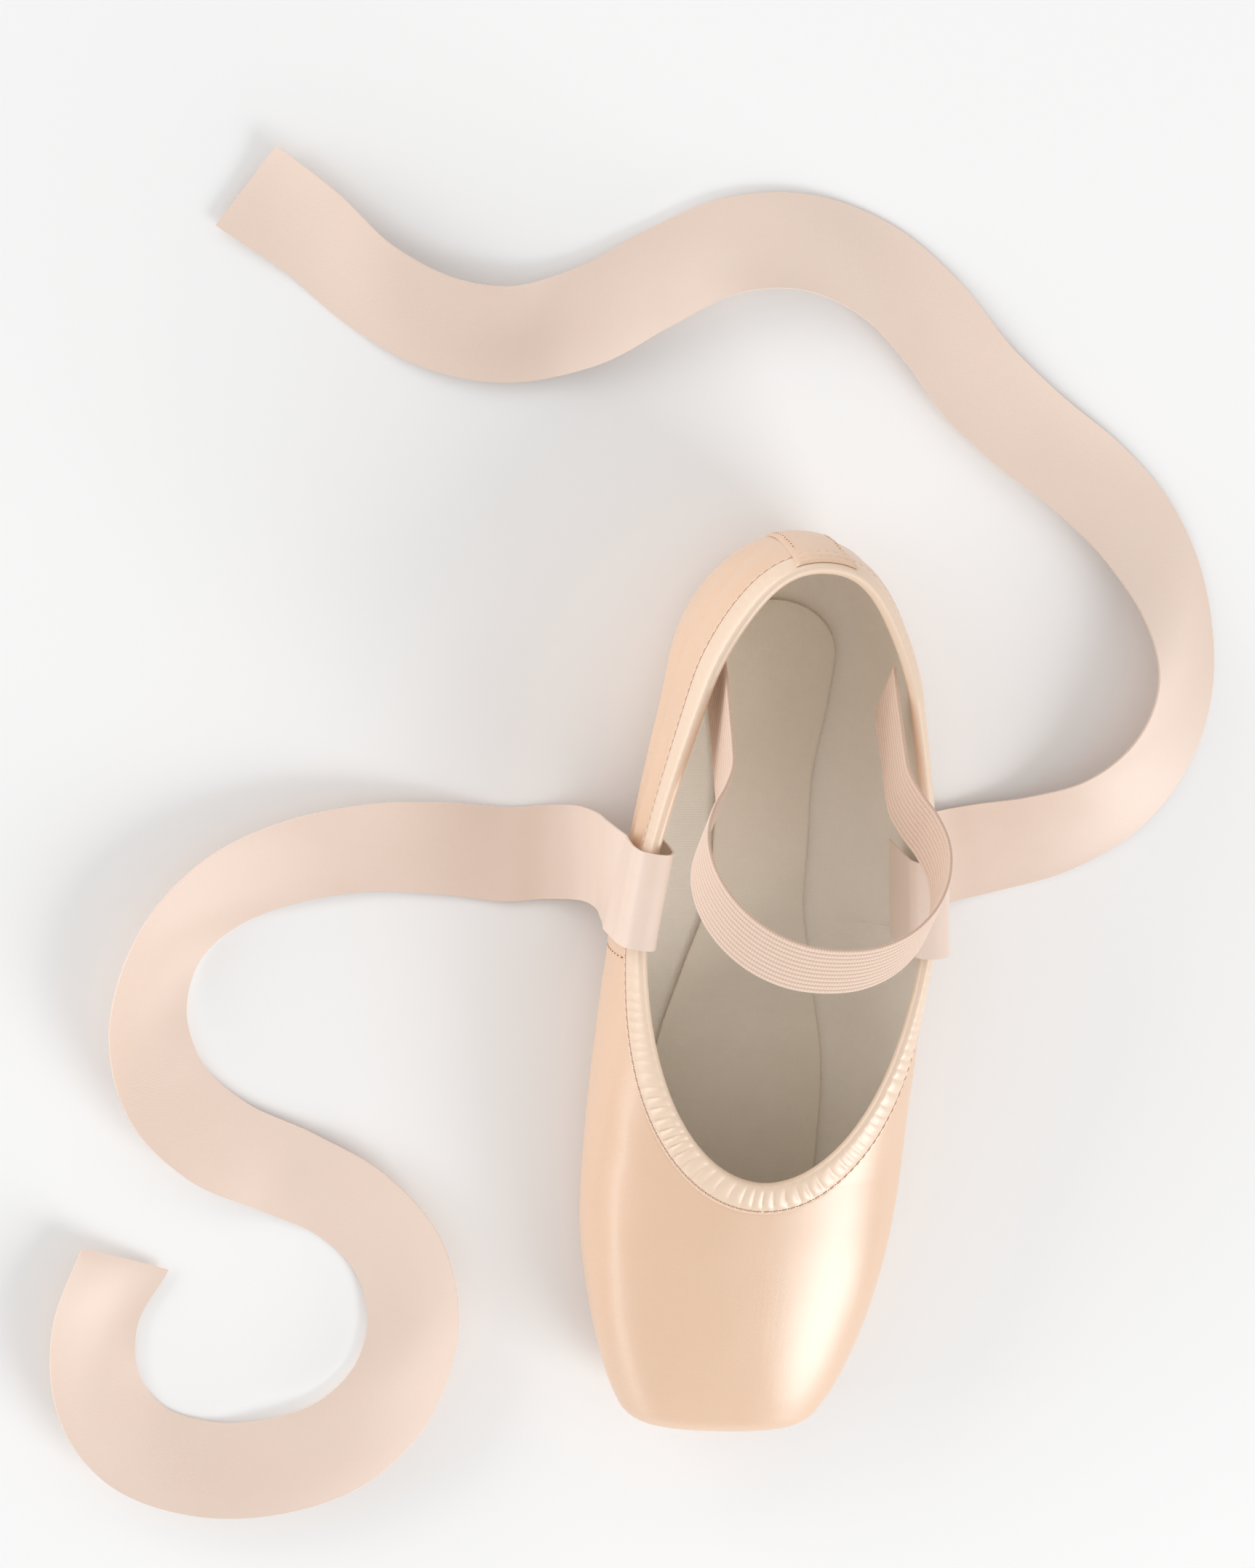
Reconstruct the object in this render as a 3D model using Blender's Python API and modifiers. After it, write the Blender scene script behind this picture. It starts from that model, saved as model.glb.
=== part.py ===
"""Pointe shoe standing empty on its sole: toe towards -Y, heel towards +Y, metres, +Z up."""

import math

import bmesh
import bpy
import numpy as np
from mathutils import Vector
from mathutils.bvhtree import BVHTree

# Driving dimensions of the shoe
LENGTH = 0.230
BALL_WIDTH = 0.080
INSTEP_HEIGHT = 0.047
HEEL_HEIGHT = 0.0545
WALL = 0.0020
GAP = 0.0003
TAPE_GAP = 0.0005

# Sole line: flat under the ball and the heel, raised at the waist and at the toe
OUTSOLE_THICKNESS = 0.0025
OUTSOLE_FRONT = 0.029
OUTSOLE_BACK = 0.203
OUTSOLE_SETBACK = 0.0012
OUTSOLE_EDGE = 0.0007
BALL_FLAT_FRONT = 0.045
BALL_FLAT_BACK = 0.100
HEEL_FLAT_FRONT = 0.183
ARCH_RISE = 0.0050
TOE_SPRING = 0.0022

# Opening under the upper, closed by the outsole
HOLE_FRONT = 0.037
HOLE_FRONT_ROUND = 0.012
HOLE_MARGIN = 0.0065

# Collar: half an ellipse from the throat to its widest place, then narrowing to the heel
THROAT = 0.0708
THROAT_EASE, THROAT_TURN = 0.010, 0.17
COLLAR_WIDEST = 0.140
COLLAR_HALF = 0.0365
COLLAR_HEEL_HALF = 0.0260
COLLAR_NARROWING = 1.4

# Centre back of the heel, measured from where the heel's round plan begins
HEEL_START = 0.1955
HEEL_BULGE = 0.0345
HEEL_BULGE_HEIGHT = 0.0320
HEEL_TOP_BACK = 0.0318
HEEL_FLAT_BACK = 0.0175
HEEL_HOLE_BACK = 0.0025
HEEL_ARC = 0.047

# Squareness of the section: 2 is an ellipse
LOWER_POWER = 2.3
UPPER_POWER = 2.3
HEEL_POWER = 2.05

# Toe platform
PLATFORM_RIM = 0.0045

# Side seam: the vamp lies over the quarter with a raised, folded edge
SEAM = 0.130
SEAM_DROP = 0.0006
SEAM_RAMP = 0.010
SEAM_RAISE = 0.0007
SEAM_FULL_ROW = 0.63
SEAM_END_ROW = 0.69
SEAM_SLANT = 0.06
SEAM_SLANT_REACH = 0.025

# Binding folded over the collar's edge
BINDING_OUTSIDE = 0.0068
BINDING_INSIDE = 0.0060
BINDING_THICKNESS = 0.0009

# Tape down the centre back
STRIP_HALF = 0.0070
STRIP_THICKNESS = 0.0006

# Distance from the platform to the middle of the whole shoe, the tapes at its heel included
MIDDLE = LENGTH / 2 + 0.0007

# Insole on the turned-in edge of the upper
INSOLE_THICKNESS = 0.0016
INSOLE_FRONT = 0.018
INSOLE_BACK = 0.2095
INSOLE_SETBACK = 0.0016

# Elastic over the instep, in a plane that leans forward
ELASTIC_WIDTH = 0.020
ELASTIC_THICKNESS = 0.0010
ELASTIC_LEAN = math.radians(45)
ELASTIC_BASE = (0.203, 0.031)
ELASTIC_WALL_CLEARANCE = 0.0045

# Ribbons
RIBBON_WIDTH = 0.024
RIBBON_THICKNESS = 0.0007

# Sections of the last, each value a share of the dimension that its name gives
SECTION_COLUMNS = ("along", "width", "widest", "top", "flat")
SECTION_SCALES = (LENGTH, BALL_WIDTH / 2, INSTEP_HEIGHT, INSTEP_HEIGHT, BALL_WIDTH / 2)
SECTIONS = (
    (0.00, 0.580, 0.351, 0.638, 0.200),
    (0.05, 0.728, 0.379, 0.753, 0.288),
    (0.10, 0.828, 0.400, 0.836, 0.388),
    (0.15, 0.904, 0.411, 0.898, 0.488),
    (0.20, 0.960, 0.421, 0.945, 0.550),
    (0.25, 0.990, 0.430, 0.979, 0.583),
    (0.30, 1.000, 0.440, 1.000, 0.595),
    (0.35, 1.000, 0.457, 1.008, 0.595),
    (0.40, 0.998, 0.485, 1.004, 0.575),
    (0.50, 0.985, 0.553, 0.991, 0.450),
    (0.60, 0.958, 0.617, 0.989, 0.338),
    (0.70, 0.870, 0.638, 1.013, 0.338),
    (0.80, 0.780, 0.649, 1.055, 0.413),
    (0.85, 0.738, 0.660, 1.080, 0.438),
)

# Rows of the wall: sole opening, edge of the flat bottom, widest height, crown or collar
FLAT_ROW = 0.14
SIDE_ROW = 0.44
BOTTOM_ROWS = 2
LOWER_ROWS = 6
UPPER_ROWS = 9

# Stations of the wall behind the platform, and the number of steps round the heel
STATIONS = (
    0.007, 0.014, 0.022, 0.030, 0.037, 0.0385, 0.043, 0.049, 0.056, 0.063, 0.0708, 0.0715, 0.0733,
    0.0765, 0.0805, 0.0860, 0.0930, 0.1010, 0.1100, 0.1200, 0.1300, 0.1306, 0.1400, 0.1510,
    0.1620, 0.1740, 0.1850, 0.1955,
)
HEEL_STEPS = 8
PLATFORM_RINGS = (0.0, 0.55)
RIM_ANGLES = (0, 30, 60, 90)

# Elastic: across and along its leaning plane, from the middle of the band to its sewn end
ELASTIC_COLUMNS = ("across", "along")
ELASTIC_ARCH = (
    (0.0000, 0.0905),
    (0.0090, 0.0893),
    (0.0175, 0.0850),
    (0.0245, 0.0775),
    (0.0285, 0.0680),
    (0.0290, 0.0600),
    (0.0268, 0.0525),
    (0.0235, 0.0465),
    (0.0214, 0.0410),
    (0.0210, 0.0350),
    (0.0209, 0.0270),
    (0.0208, 0.0190),
    (0.0208, 0.0110),
)

# Ribbons, each row a point of the middle line in millimetres: lift is the height of the band's lower
# edge, roll the turn of its width out of the level in degrees
RIBBON_COLUMNS = ("x", "y", "lift", "roll")
RIBBON_RIGHT = (
    (30.40, 26.56, 24.0, 0),
    (30.50, 26.57, 34.0, 0),
    (30.60, 26.58, 41.0, 0),
    (30.80, 26.60, 45.6, 0),
    (32.30, 26.78, 49.0, 0),
    (35.40, 27.10, 50.1, 0),
    (38.60, 27.40, 49.0, 0),
    (40.05, 27.55, 45.1, 0),
    (40.45, 27.60, 39.0, 0),
    (40.60, 27.63, 30.0, 0),
    (40.85, 27.67, 20.0, 0),
    (41.40, 27.80, 11.0, 0),
    (44.20, 28.20, 4.6, 0),
    (50.50, 29.20, 1.6, 0),
    (60.00, 31.40, 0.8, 3),
    (76.00, 36.00, 0.9, 10),
    (91.00, 45.00, 0.9, 22),
    (101.00, 60.00, 0.9, 34),
    (105.00, 79.00, 0.9, 38),
    (101.00, 98.00, 0.9, 32),
    (91.00, 114.00, 0.9, 22),
    (77.00, 127.00, 1.0, 12),
    (61.00, 138.00, 1.2, 8),
    (46.00, 150.00, 1.0, 8),
    (33.00, 164.00, 0.9, 12),
    (18.00, 176.00, 0.9, 18),
    (0.00, 182.00, 0.9, 24),
    (-19.00, 180.00, 0.9, 26),
    (-36.00, 171.00, 0.9, 20),
    (-52.00, 161.00, 1.0, 8),
    (-70.00, 156.00, 1.2, -6),
    (-89.00, 158.00, 0.9, -16),
    (-106.00, 166.00, 0.9, -22),
    (-121.00, 178.00, 0.9, -18),
    (-137.00, 188.00, 1.0, -8),
)
RIBBON_LEFT = (
    (-30.40, 26.56, 24.0, 0),
    (-30.50, 26.57, 34.0, 0),
    (-30.60, 26.58, 41.0, 0),
    (-30.80, 26.60, 45.6, 0),
    (-32.30, 26.78, 49.0, 0),
    (-35.40, 27.10, 50.1, 0),
    (-38.60, 27.40, 49.0, 0),
    (-40.05, 27.55, 45.1, 0),
    (-40.45, 27.60, 39.0, 0),
    (-40.60, 27.63, 30.0, 0),
    (-40.85, 27.66, 20.0, 0),
    (-41.40, 27.70, 11.0, 0),
    (-44.20, 27.60, 4.6, 0),
    (-50.50, 27.00, 1.6, 0),
    (-60.50, 25.80, 0.8, 0),
    (-79.00, 27.00, 0.9, -6),
    (-98.00, 27.00, 0.9, -12),
    (-117.00, 23.00, 0.9, -20),
    (-134.00, 14.00, 0.9, -28),
    (-146.00, 0.00, 0.9, -34),
    (-150.00, -18.00, 0.9, -34),
    (-144.00, -36.00, 0.9, -26),
    (-130.00, -49.00, 0.9, -14),
    (-112.00, -57.00, 1.2, 0),
    (-95.00, -65.00, 1.0, 12),
    (-82.00, -78.00, 0.9, 20),
    (-77.00, -95.00, 0.9, 28),
    (-81.00, -113.00, 0.9, 32),
    (-93.00, -127.00, 0.9, 30),
    (-110.00, -134.00, 0.9, 24),
    (-128.00, -135.00, 0.9, 20),
    (-145.00, -129.00, 0.9, 22),
    (-156.00, -115.00, 0.9, 26),
    (-158.00, -97.00, 0.9, 22),
    (-151.00, -80.00, 0.9, 12),
)
RIBBON_STEPS = 3
RIBBON_HEADING_REACH = 6

# Colours of the pieces as red, green and blue, then roughness
FINISHES = {
    "upper": ((0.86, 0.60, 0.42), 0.38),
    "outsole": ((0.62, 0.42, 0.31), 0.80),
    "insole": ((0.72, 0.60, 0.47), 0.75),
    "binding": ((0.87, 0.63, 0.46), 0.40),
    "heel_strip": ((0.86, 0.61, 0.43), 0.38),
    "elastic": ((0.86, 0.68, 0.58), 0.70),
    "ribbon_left": ((0.88, 0.68, 0.58), 0.45),
    "ribbon_right": ((0.88, 0.68, 0.58), 0.45),
}


def monotone(knots, values, at):
    """Cubic through the knots with no overshoot: a knot's slope is the harmonic mean of its two chords."""
    knots = np.asarray(knots, dtype=float)
    values = np.asarray(values, dtype=float)
    step = np.diff(knots)
    chord = np.diff(values) / step
    slope = np.zeros_like(values)
    steady = chord[1:] * chord[:-1] > 0
    slope[1:-1][steady] = 2 / (1 / chord[1:][steady] + 1 / chord[:-1][steady])
    slope[0] = chord[0]
    slope[-1] = chord[-1]
    k = np.clip(np.searchsorted(knots, at, side="right") - 1, 0, len(step) - 1)
    t = (at - knots[k]) / step[k]
    start = values[k] * (1 + 2 * t) * (1 - t) ** 2 + slope[k] * step[k] * t * (1 - t) ** 2
    return start + values[k + 1] * t**2 * (3 - 2 * t) + slope[k + 1] * step[k] * t**2 * (t - 1)


def section_column(name, s):
    """One column of the sections at distance s behind the platform, in metres."""
    table = np.array(SECTIONS) * SECTION_SCALES
    column = SECTION_COLUMNS.index(name)
    return monotone(table[:, 0], table[:, column], s)


def sole_line(s):
    """Height of the sole's underside: toe spring, two flats on the floor and the arch between them."""
    toe = TOE_SPRING * (np.clip(BALL_FLAT_FRONT - s, 0, None) / BALL_FLAT_FRONT) ** 2
    across = np.clip((s - BALL_FLAT_BACK) / (HEEL_FLAT_FRONT - BALL_FLAT_BACK), 0, 1)
    return toe + np.where((across > 0) & (across < 1), ARCH_RISE * np.sin(math.pi * across) ** 2, 0.0)


def crown_line(s):
    """Height of the crown and collar, with a parabola that eases the turn of slope at the throat."""
    near = np.clip(1 - np.abs(s - THROAT) / THROAT_EASE, 0, 1)
    return section_column("top", s) + THROAT_TURN * THROAT_EASE / 4 * near**2


def collar_half(s):
    """Half width of the collar: an ellipse in plan back to its widest place, then a power curve."""
    ahead = np.clip((COLLAR_WIDEST - s) / (COLLAR_WIDEST - THROAT), 0, 1)
    behind = np.clip((s - COLLAR_WIDEST) / (HEEL_START - COLLAR_WIDEST), 0, 1)
    front = COLLAR_HALF * np.sqrt(1 - ahead**2)
    return np.where(s <= THROAT, 0.0, front - (COLLAR_HALF - COLLAR_HEEL_HALF) * behind**COLLAR_NARROWING)


def hole_half(s):
    """Half width of the opening under the upper, round at its front end."""
    ahead = np.clip((HOLE_FRONT + HOLE_FRONT_ROUND - s) / HOLE_FRONT_ROUND, 0, 1)
    return (section_column("flat", s) - HOLE_MARGIN) * np.sqrt(1 - ahead**2)


def seam_raise(s, v):
    """Rise of the vamp's folded edge over the quarter: it drops behind the seam and dies under the binding."""
    ramp = np.clip((s - SEAM + SEAM_RAMP) / SEAM_RAMP, 0, 1)
    drop = np.clip((SEAM + SEAM_DROP - s) / SEAM_DROP, 0, 1)
    below = np.clip((SEAM_END_ROW - v) / (SEAM_END_ROW - SEAM_FULL_ROW), 0, 1)
    return SEAM_RAISE * ramp * drop * below


def quarter(v, hole, flat, half, widest, bottom, top, opening, lower_power):
    """Distance out and height of one section: flat bottom, lower superellipse quarter, upper superellipse arc."""
    out = np.clip(v / FLAT_ROW, 0, 1)
    low = np.clip((v - FLAT_ROW) / (SIDE_ROW - FLAT_ROW), 0, 1) * math.pi / 2
    end = np.arccos((opening / half) ** (UPPER_POWER / 2))
    high = np.clip((v - SIDE_ROW) / (1 - SIDE_ROW), 0, 1) * end
    reach = (top - widest) / np.sin(end) ** (2 / UPPER_POWER)
    flat_x = hole + (flat - hole) * out
    low_x = flat + (half - flat) * np.sin(low) ** (2 / lower_power)
    low_z = widest - (widest - bottom) * np.abs(np.cos(low)) ** (2 / lower_power)
    high_x = half * np.abs(np.cos(high)) ** (2 / UPPER_POWER)
    high_z = widest + reach * np.sin(high) ** (2 / UPPER_POWER)
    x = np.where(v <= FLAT_ROW, flat_x, np.where(v <= SIDE_ROW, low_x, high_x))
    z = np.where(v <= FLAT_ROW, bottom, np.where(v <= SIDE_ROW, low_z, high_z))
    return x, z


def straight_section(s, v):
    """Half width and height of the wall on a plane across the shoe at distance s."""
    half = section_column("width", s)
    opening = np.minimum(collar_half(s), half)
    bottom = sole_line(s) + OUTSOLE_THICKNESS + GAP
    flat = section_column("flat", s)
    widest = section_column("widest", s)
    top = crown_line(s)
    x, z = quarter(v, hole_half(s), flat, half, widest, bottom, top, opening, LOWER_POWER)
    return x + seam_raise(s, v) * np.clip((v - FLAT_ROW) / (SIDE_ROW - FLAT_ROW), 0, 1), z


def heel_section(v):
    """Distance behind the heel's start and height of the wall down the centre back."""
    bottom = OUTSOLE_THICKNESS + GAP
    sizes = (HEEL_HOLE_BACK, HEEL_FLAT_BACK, HEEL_BULGE, HEEL_BULGE_HEIGHT, bottom, HEEL_HEIGHT, HEEL_TOP_BACK)
    return quarter(v, *sizes, HEEL_POWER)


def wall(w, v):
    """Point of the upper's outer face; w is the distance behind the platform and then round the heel."""
    w, v = np.broadcast_arrays(np.asarray(w, dtype=float), np.asarray(v, dtype=float))
    s = np.minimum(w, HEEL_START)
    x, z = straight_section(s, v)
    before, _ = straight_section(s - PLATFORM_RIM, v)
    back, back_z = heel_section(v)
    turn = np.clip((w - HEEL_START) / HEEL_ARC, 0, 1) * math.pi / 2
    taper = np.clip((before - x) / PLATFORM_RIM * back / np.maximum(x, PLATFORM_RIM), 0, 0.5)
    round_x = x * np.cos(turn) * (1 - taper * np.sin(turn) * np.cos(turn))
    round_z = z + (back_z - z) * np.sin(turn) ** 2
    slant = SEAM_SLANT * np.exp(-(((s - SEAM) / SEAM_SLANT_REACH) ** 2))
    y = s + back * np.sin(turn) + slant * (round_z - sole_line(s) - OUTSOLE_THICKNESS - GAP) - MIDDLE
    return np.stack([np.where(turn >= math.pi / 2, 0.0, round_x), y, round_z], axis=-1)


def wall_normal(w, v):
    """Outward unit normal of the wall, from small steps along it and up it."""
    small = 1e-4
    low, high = np.maximum(v - small, 0), np.minimum(v + small, 1)
    along = wall(np.asarray(w) + small, v) - wall(np.asarray(w) - small, v)
    upward = wall(w, high) - wall(w, low)
    normal = np.cross(along, upward)
    return normal / np.linalg.norm(normal, axis=-1, keepdims=True)


def grid_faces(rows, columns, closed=False):
    """Quads of a grid of rows by columns, joined round when closed."""
    r, c = np.meshgrid(np.arange(rows - 1), np.arange(columns if closed else columns - 1), indexing="ij")
    after = (c + 1) % columns
    corners = [r * columns + c, (r + 1) * columns + c, (r + 1) * columns + after, r * columns + after]
    return np.stack(corners, axis=-1).reshape(-1, 4).tolist()


def finish(name):
    """Principled material in the piece's colour."""
    colour, roughness = FINISHES[name]
    material = bpy.data.materials.new(name)
    material.use_nodes = True
    shader = material.node_tree.nodes["Principled BSDF"]
    shader.inputs["Base Color"].default_value = (*colour, 1)
    shader.inputs["Roughness"].default_value = roughness
    shader.inputs["Metallic"].default_value = 0
    return material


def new_object(name, points, faces):
    """Mesh object in the shoe's collection, with doubles merged and faces turned the same way."""
    mesh = bpy.data.meshes.new(name)
    mesh.from_pydata(np.asarray(points).reshape(-1, 3).tolist(), [], faces)
    work = bmesh.new()
    work.from_mesh(mesh)
    bmesh.ops.remove_doubles(work, verts=work.verts, dist=1e-6)
    bmesh.ops.dissolve_degenerate(work, edges=work.edges, dist=1e-6)
    bmesh.ops.recalc_face_normals(work, faces=work.faces)
    work.to_mesh(mesh)
    work.free()
    mesh.shade_smooth()
    mesh.set_sharp_from_angle(angle=math.radians(35))
    mesh.materials.append(finish(name))
    piece = bpy.data.objects.new(name, mesh)
    bpy.data.collections["pointe_shoe"].objects.link(piece)
    return piece


def loft(name, rings):
    """Closed solid through rings of equal point counts, with a flat cap on each end."""
    rings = np.asarray(rings)
    count, around = rings.shape[:2]
    faces = grid_faces(count, around, closed=True)
    faces.append(list(range(around)))
    faces.append([(count - 1) * around + k for k in reversed(range(around))])
    return new_object(name, rings, faces)


def toe_rings(v):
    """Rings of the flat platform and its rounded rim, shrunk towards the platform's middle."""
    rings = []
    middle = np.array([0.0, 0.0, (section_column("top", 0.0) + sole_line(0.0) + OUTSOLE_THICKNESS + GAP) / 2])
    half = np.array([section_column("width", 0.0), 1.0, section_column("top", 0.0) - middle[2]])
    rim = [(0.0, PLATFORM_RIM, share) for share in PLATFORM_RINGS]
    for angle in RIM_ANGLES:
        turn = math.radians(angle)
        rim.append((PLATFORM_RIM * (1 - math.cos(turn)), PLATFORM_RIM * (1 - math.sin(turn)), 1.0))
    for s, inset, share in rim:
        ring = wall(s, v)
        level = ring[:, 1].copy()
        ring = middle + (ring - middle) * (1 - inset / half) * share
        ring[:, 1] = level if share == 1.0 else -MIDDLE
        rings.append(ring)
    return rings


def upper():
    """Hollow shell: half of its outer face, mirrored at the middle plane and thickened inwards."""
    v = np.concatenate([
        np.linspace(0, FLAT_ROW, BOTTOM_ROWS, endpoint=False),
        np.linspace(FLAT_ROW, SIDE_ROW, LOWER_ROWS, endpoint=False),
        np.linspace(SIDE_ROW, 1, UPPER_ROWS + 1),
    ])
    rings = toe_rings(v)
    heel = HEEL_START + HEEL_ARC * np.arange(1, HEEL_STEPS + 1) / HEEL_STEPS
    for w in (*STATIONS, *heel):
        rings.append(wall(w, v))
    piece = new_object("upper", rings, grid_faces(len(rings), len(v)))
    mirror = piece.modifiers.new("other half", "MIRROR")
    mirror.use_clip = True
    mirror.merge_threshold = 1e-5
    shell = piece.modifiers.new("wall", "SOLIDIFY")
    shell.thickness = WALL
    shell.offset = -1
    shell.use_even_offset = True
    return piece


def wall_tree():
    """Search tree over a fine mesh of the whole outer face, for laying tapes on it."""
    w = np.concatenate([np.linspace(0.02, HEEL_START, 150), HEEL_START + HEEL_ARC * np.arange(1, 31) / 30])
    v = np.linspace(0, 1, 70)
    right = wall(w[:, None], v[None, :])
    left = right * (-1, 1, 1)
    faces = grid_faces(len(w), len(v))
    flipped = [[k + w.size * v.size for k in reversed(face)] for face in faces]
    points = [Vector(p) for p in np.concatenate([right.reshape(-1, 3), left.reshape(-1, 3)])]
    return BVHTree.FromPolygons(points, faces + flipped)


def plate(name, front, back, rounds, setback, top, bottom, edge):
    """Thin board along the sole line, round at both ends, with its lower edges cut back a little."""
    turn = np.radians([12, 24, 36, 48, 60, 75, 90])
    stations = np.concatenate([
        front + rounds[0] * (1 - np.cos(turn)),
        np.linspace(front + rounds[0], back - rounds[1], 16)[1:-1],
        (back - rounds[1] * (1 - np.cos(turn)))[::-1],
    ])
    share = np.concatenate([np.sin(turn), np.ones(14), np.sin(turn)[::-1]])
    half = (section_column("flat", np.minimum(stations, HEEL_START)) - setback) * share
    inner = np.maximum(half - edge, half * 0.5)
    level = sole_line(stations)
    y = stations - MIDDLE
    low = level + bottom
    shoulder = np.minimum(low + edge, level + top)
    ring = [(half, level + top), (half, shoulder), (inner, low), (-inner, low), (-half, shoulder), (-half, level + top)]
    rings = np.stack([np.stack([x, y, z], axis=-1) for x, z in ring], axis=1)
    return loft(name, rings)


def collar_frame(w):
    """Points of the collar's edge, with the wall's normal and the direction away from the opening."""
    edge = wall(w, 1.0)
    normal = wall_normal(w, 1.0)
    small = 1e-5
    tangent = wall(w + small, 1.0) - wall(w - small, 1.0)
    first = np.isclose(w, THROAT)
    tangent[first] = (1, 0, 0)
    normal[first] = wall_normal(THROAT - 1e-3, 1 - 1e-3)
    last = np.isclose(w, HEEL_START + HEEL_ARC)
    tangent[last] = (-1, 0, 0)
    normal[last | first, 0] = 0
    away = np.cross(tangent, normal)
    away /= np.linalg.norm(away, axis=-1, keepdims=True)
    normal /= np.linalg.norm(normal, axis=-1, keepdims=True)
    return edge, normal, away


def on_wall(tree, point, offset):
    """Nearest point of the outer face, moved along its normal; on the middle plane it stays there."""
    spot, normal, _, _ = tree.find_nearest(Vector(point))
    if abs(point[0]) < 1e-7:
        normal = Vector((0, normal.y, normal.z)).normalized()
        spot = Vector((0, spot.y, spot.z))
    return np.array(spot + normal * offset)


def binding(tree):
    """Tape folded over the edge: a U section carried round the collar."""
    near, far = TAPE_GAP, TAPE_GAP + BINDING_THICKNESS
    inside = WALL + TAPE_GAP
    depth, inner_depth = BINDING_OUTSIDE, BINDING_INSIDE
    section = (
        (near, depth), (far, depth), (far, depth / 2), (far, 0.0), (near, -far), (-inside, -far),
        (-WALL - far, 0.0), (-WALL - far, inner_depth), (-inside, inner_depth), (-inside, -near), (near, -near),
        (near, depth / 2),
    )
    ahead = [w for w in STATIONS if w >= THROAT]
    w = np.array(ahead + [HEEL_START + HEEL_ARC * k / HEEL_STEPS for k in range(1, HEEL_STEPS + 1)])
    edge, normal, away = collar_frame(w)
    rings = []
    for point, out, down in zip(edge, normal, away):
        ring = []
        for offset, below in section:
            if below > 0:
                ring.append(on_wall(tree, point + down * below, offset))
            else:
                ring.append(point + down * below + out * offset)
        rings.append(np.array(ring))
    rings += [ring * (-1, 1, 1) for ring in rings[-2:0:-1]]
    rings = np.array(rings)
    count, around = rings.shape[:2]
    faces = grid_faces(count, around, closed=True)
    last = (count - 1) * around
    for k in range(around):
        after = (k + 1) % around
        faces.append([last + k, k, after, last + after])
    return new_object("binding", rings, faces)


def heel_strip():
    """Tape down the centre back, over the binding at its top and under the heel to the outsole."""
    v = np.concatenate([np.linspace(1, SIDE_ROW, 9), np.linspace(SIDE_ROW, FLAT_ROW, 8)[1:], [0.0]])
    back, _ = heel_section(v)
    share = (OUTSOLE_BACK + 4 * GAP - HEEL_START - HEEL_HOLE_BACK) / (HEEL_FLAT_BACK - HEEL_HOLE_BACK)
    v[-1] = FLAT_ROW * share
    end = HEEL_START + HEEL_ARC
    middle = wall(end, v)
    depth = np.concatenate([[0], np.cumsum(np.linalg.norm(np.diff(middle, axis=0), axis=1))])
    over = np.clip((BINDING_OUTSIDE + 0.0022 - depth) / 0.0014, 0, 1)
    lift = TAPE_GAP + (TAPE_GAP + BINDING_THICKNESS) * over
    half, _ = straight_section(np.full_like(v, HEEL_START), v)
    columns = np.linspace(-1, 1, 5) * STRIP_HALF
    lower, higher = [], []
    for across in columns:
        turn = np.arccos(np.abs(across) / half)
        for _ in range(6):
            reach = wall(HEEL_START + HEEL_ARC * turn / (math.pi / 2), v)[:, 0]
            turn = np.clip(turn + (reach - abs(across)) / half, 0, math.pi / 2)
        w = HEEL_START + HEEL_ARC * turn / (math.pi / 2)
        side = np.sign(across) or 1.0
        spot = wall(w, v) * (side, 1, 1)
        normal = wall_normal(np.minimum(w, end - 2e-4), v) * (side, 1, 1)
        if across == 0:
            spot[:, 0] = 0
            normal[:, 0] = 0
            normal /= np.linalg.norm(normal, axis=-1, keepdims=True)
        lower.append(spot + normal * lift[:, None])
        higher.append(spot + normal * (lift + STRIP_THICKNESS)[:, None])
    rings = np.stack(lower + higher[::-1], axis=1)
    return loft("heel_strip", rings)


def band_solid(name, middle, across, half_width, thickness):
    """Thin closed band: the middle line, widened along the given direction and thickened along its normal."""
    along = np.gradient(middle, axis=0)
    normal = np.cross(along, across)
    normal /= np.linalg.norm(normal, axis=1, keepdims=True)
    left, right = middle - across * half_width, middle + across * half_width
    lift = normal * thickness / 2
    rings = np.stack([left - lift, right - lift, right + lift, left + lift], axis=1)
    return loft(name, rings)


def spline_points(points, steps):
    """Points of a smooth curve through the given ones, with the same number of steps in each stretch."""
    points = np.asarray(points, dtype=float)
    chord = np.linalg.norm(np.diff(points[:, :3], axis=0), axis=1)
    knots = np.concatenate([[0], np.cumsum(chord)])
    slope = np.gradient(points, knots, axis=0)
    at = np.linspace(0, len(chord), len(chord) * steps + 1)
    k = np.minimum(at.astype(int), len(chord) - 1)
    step = chord[k][:, None]
    t = (at - k)[:, None]
    start = points[k] * (1 + 2 * t) * (1 - t) ** 2 + slope[k] * step * t * (1 - t) ** 2
    return start + points[k + 1] * t**2 * (3 - 2 * t) + slope[k + 1] * step * t**2 * (t - 1)


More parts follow.
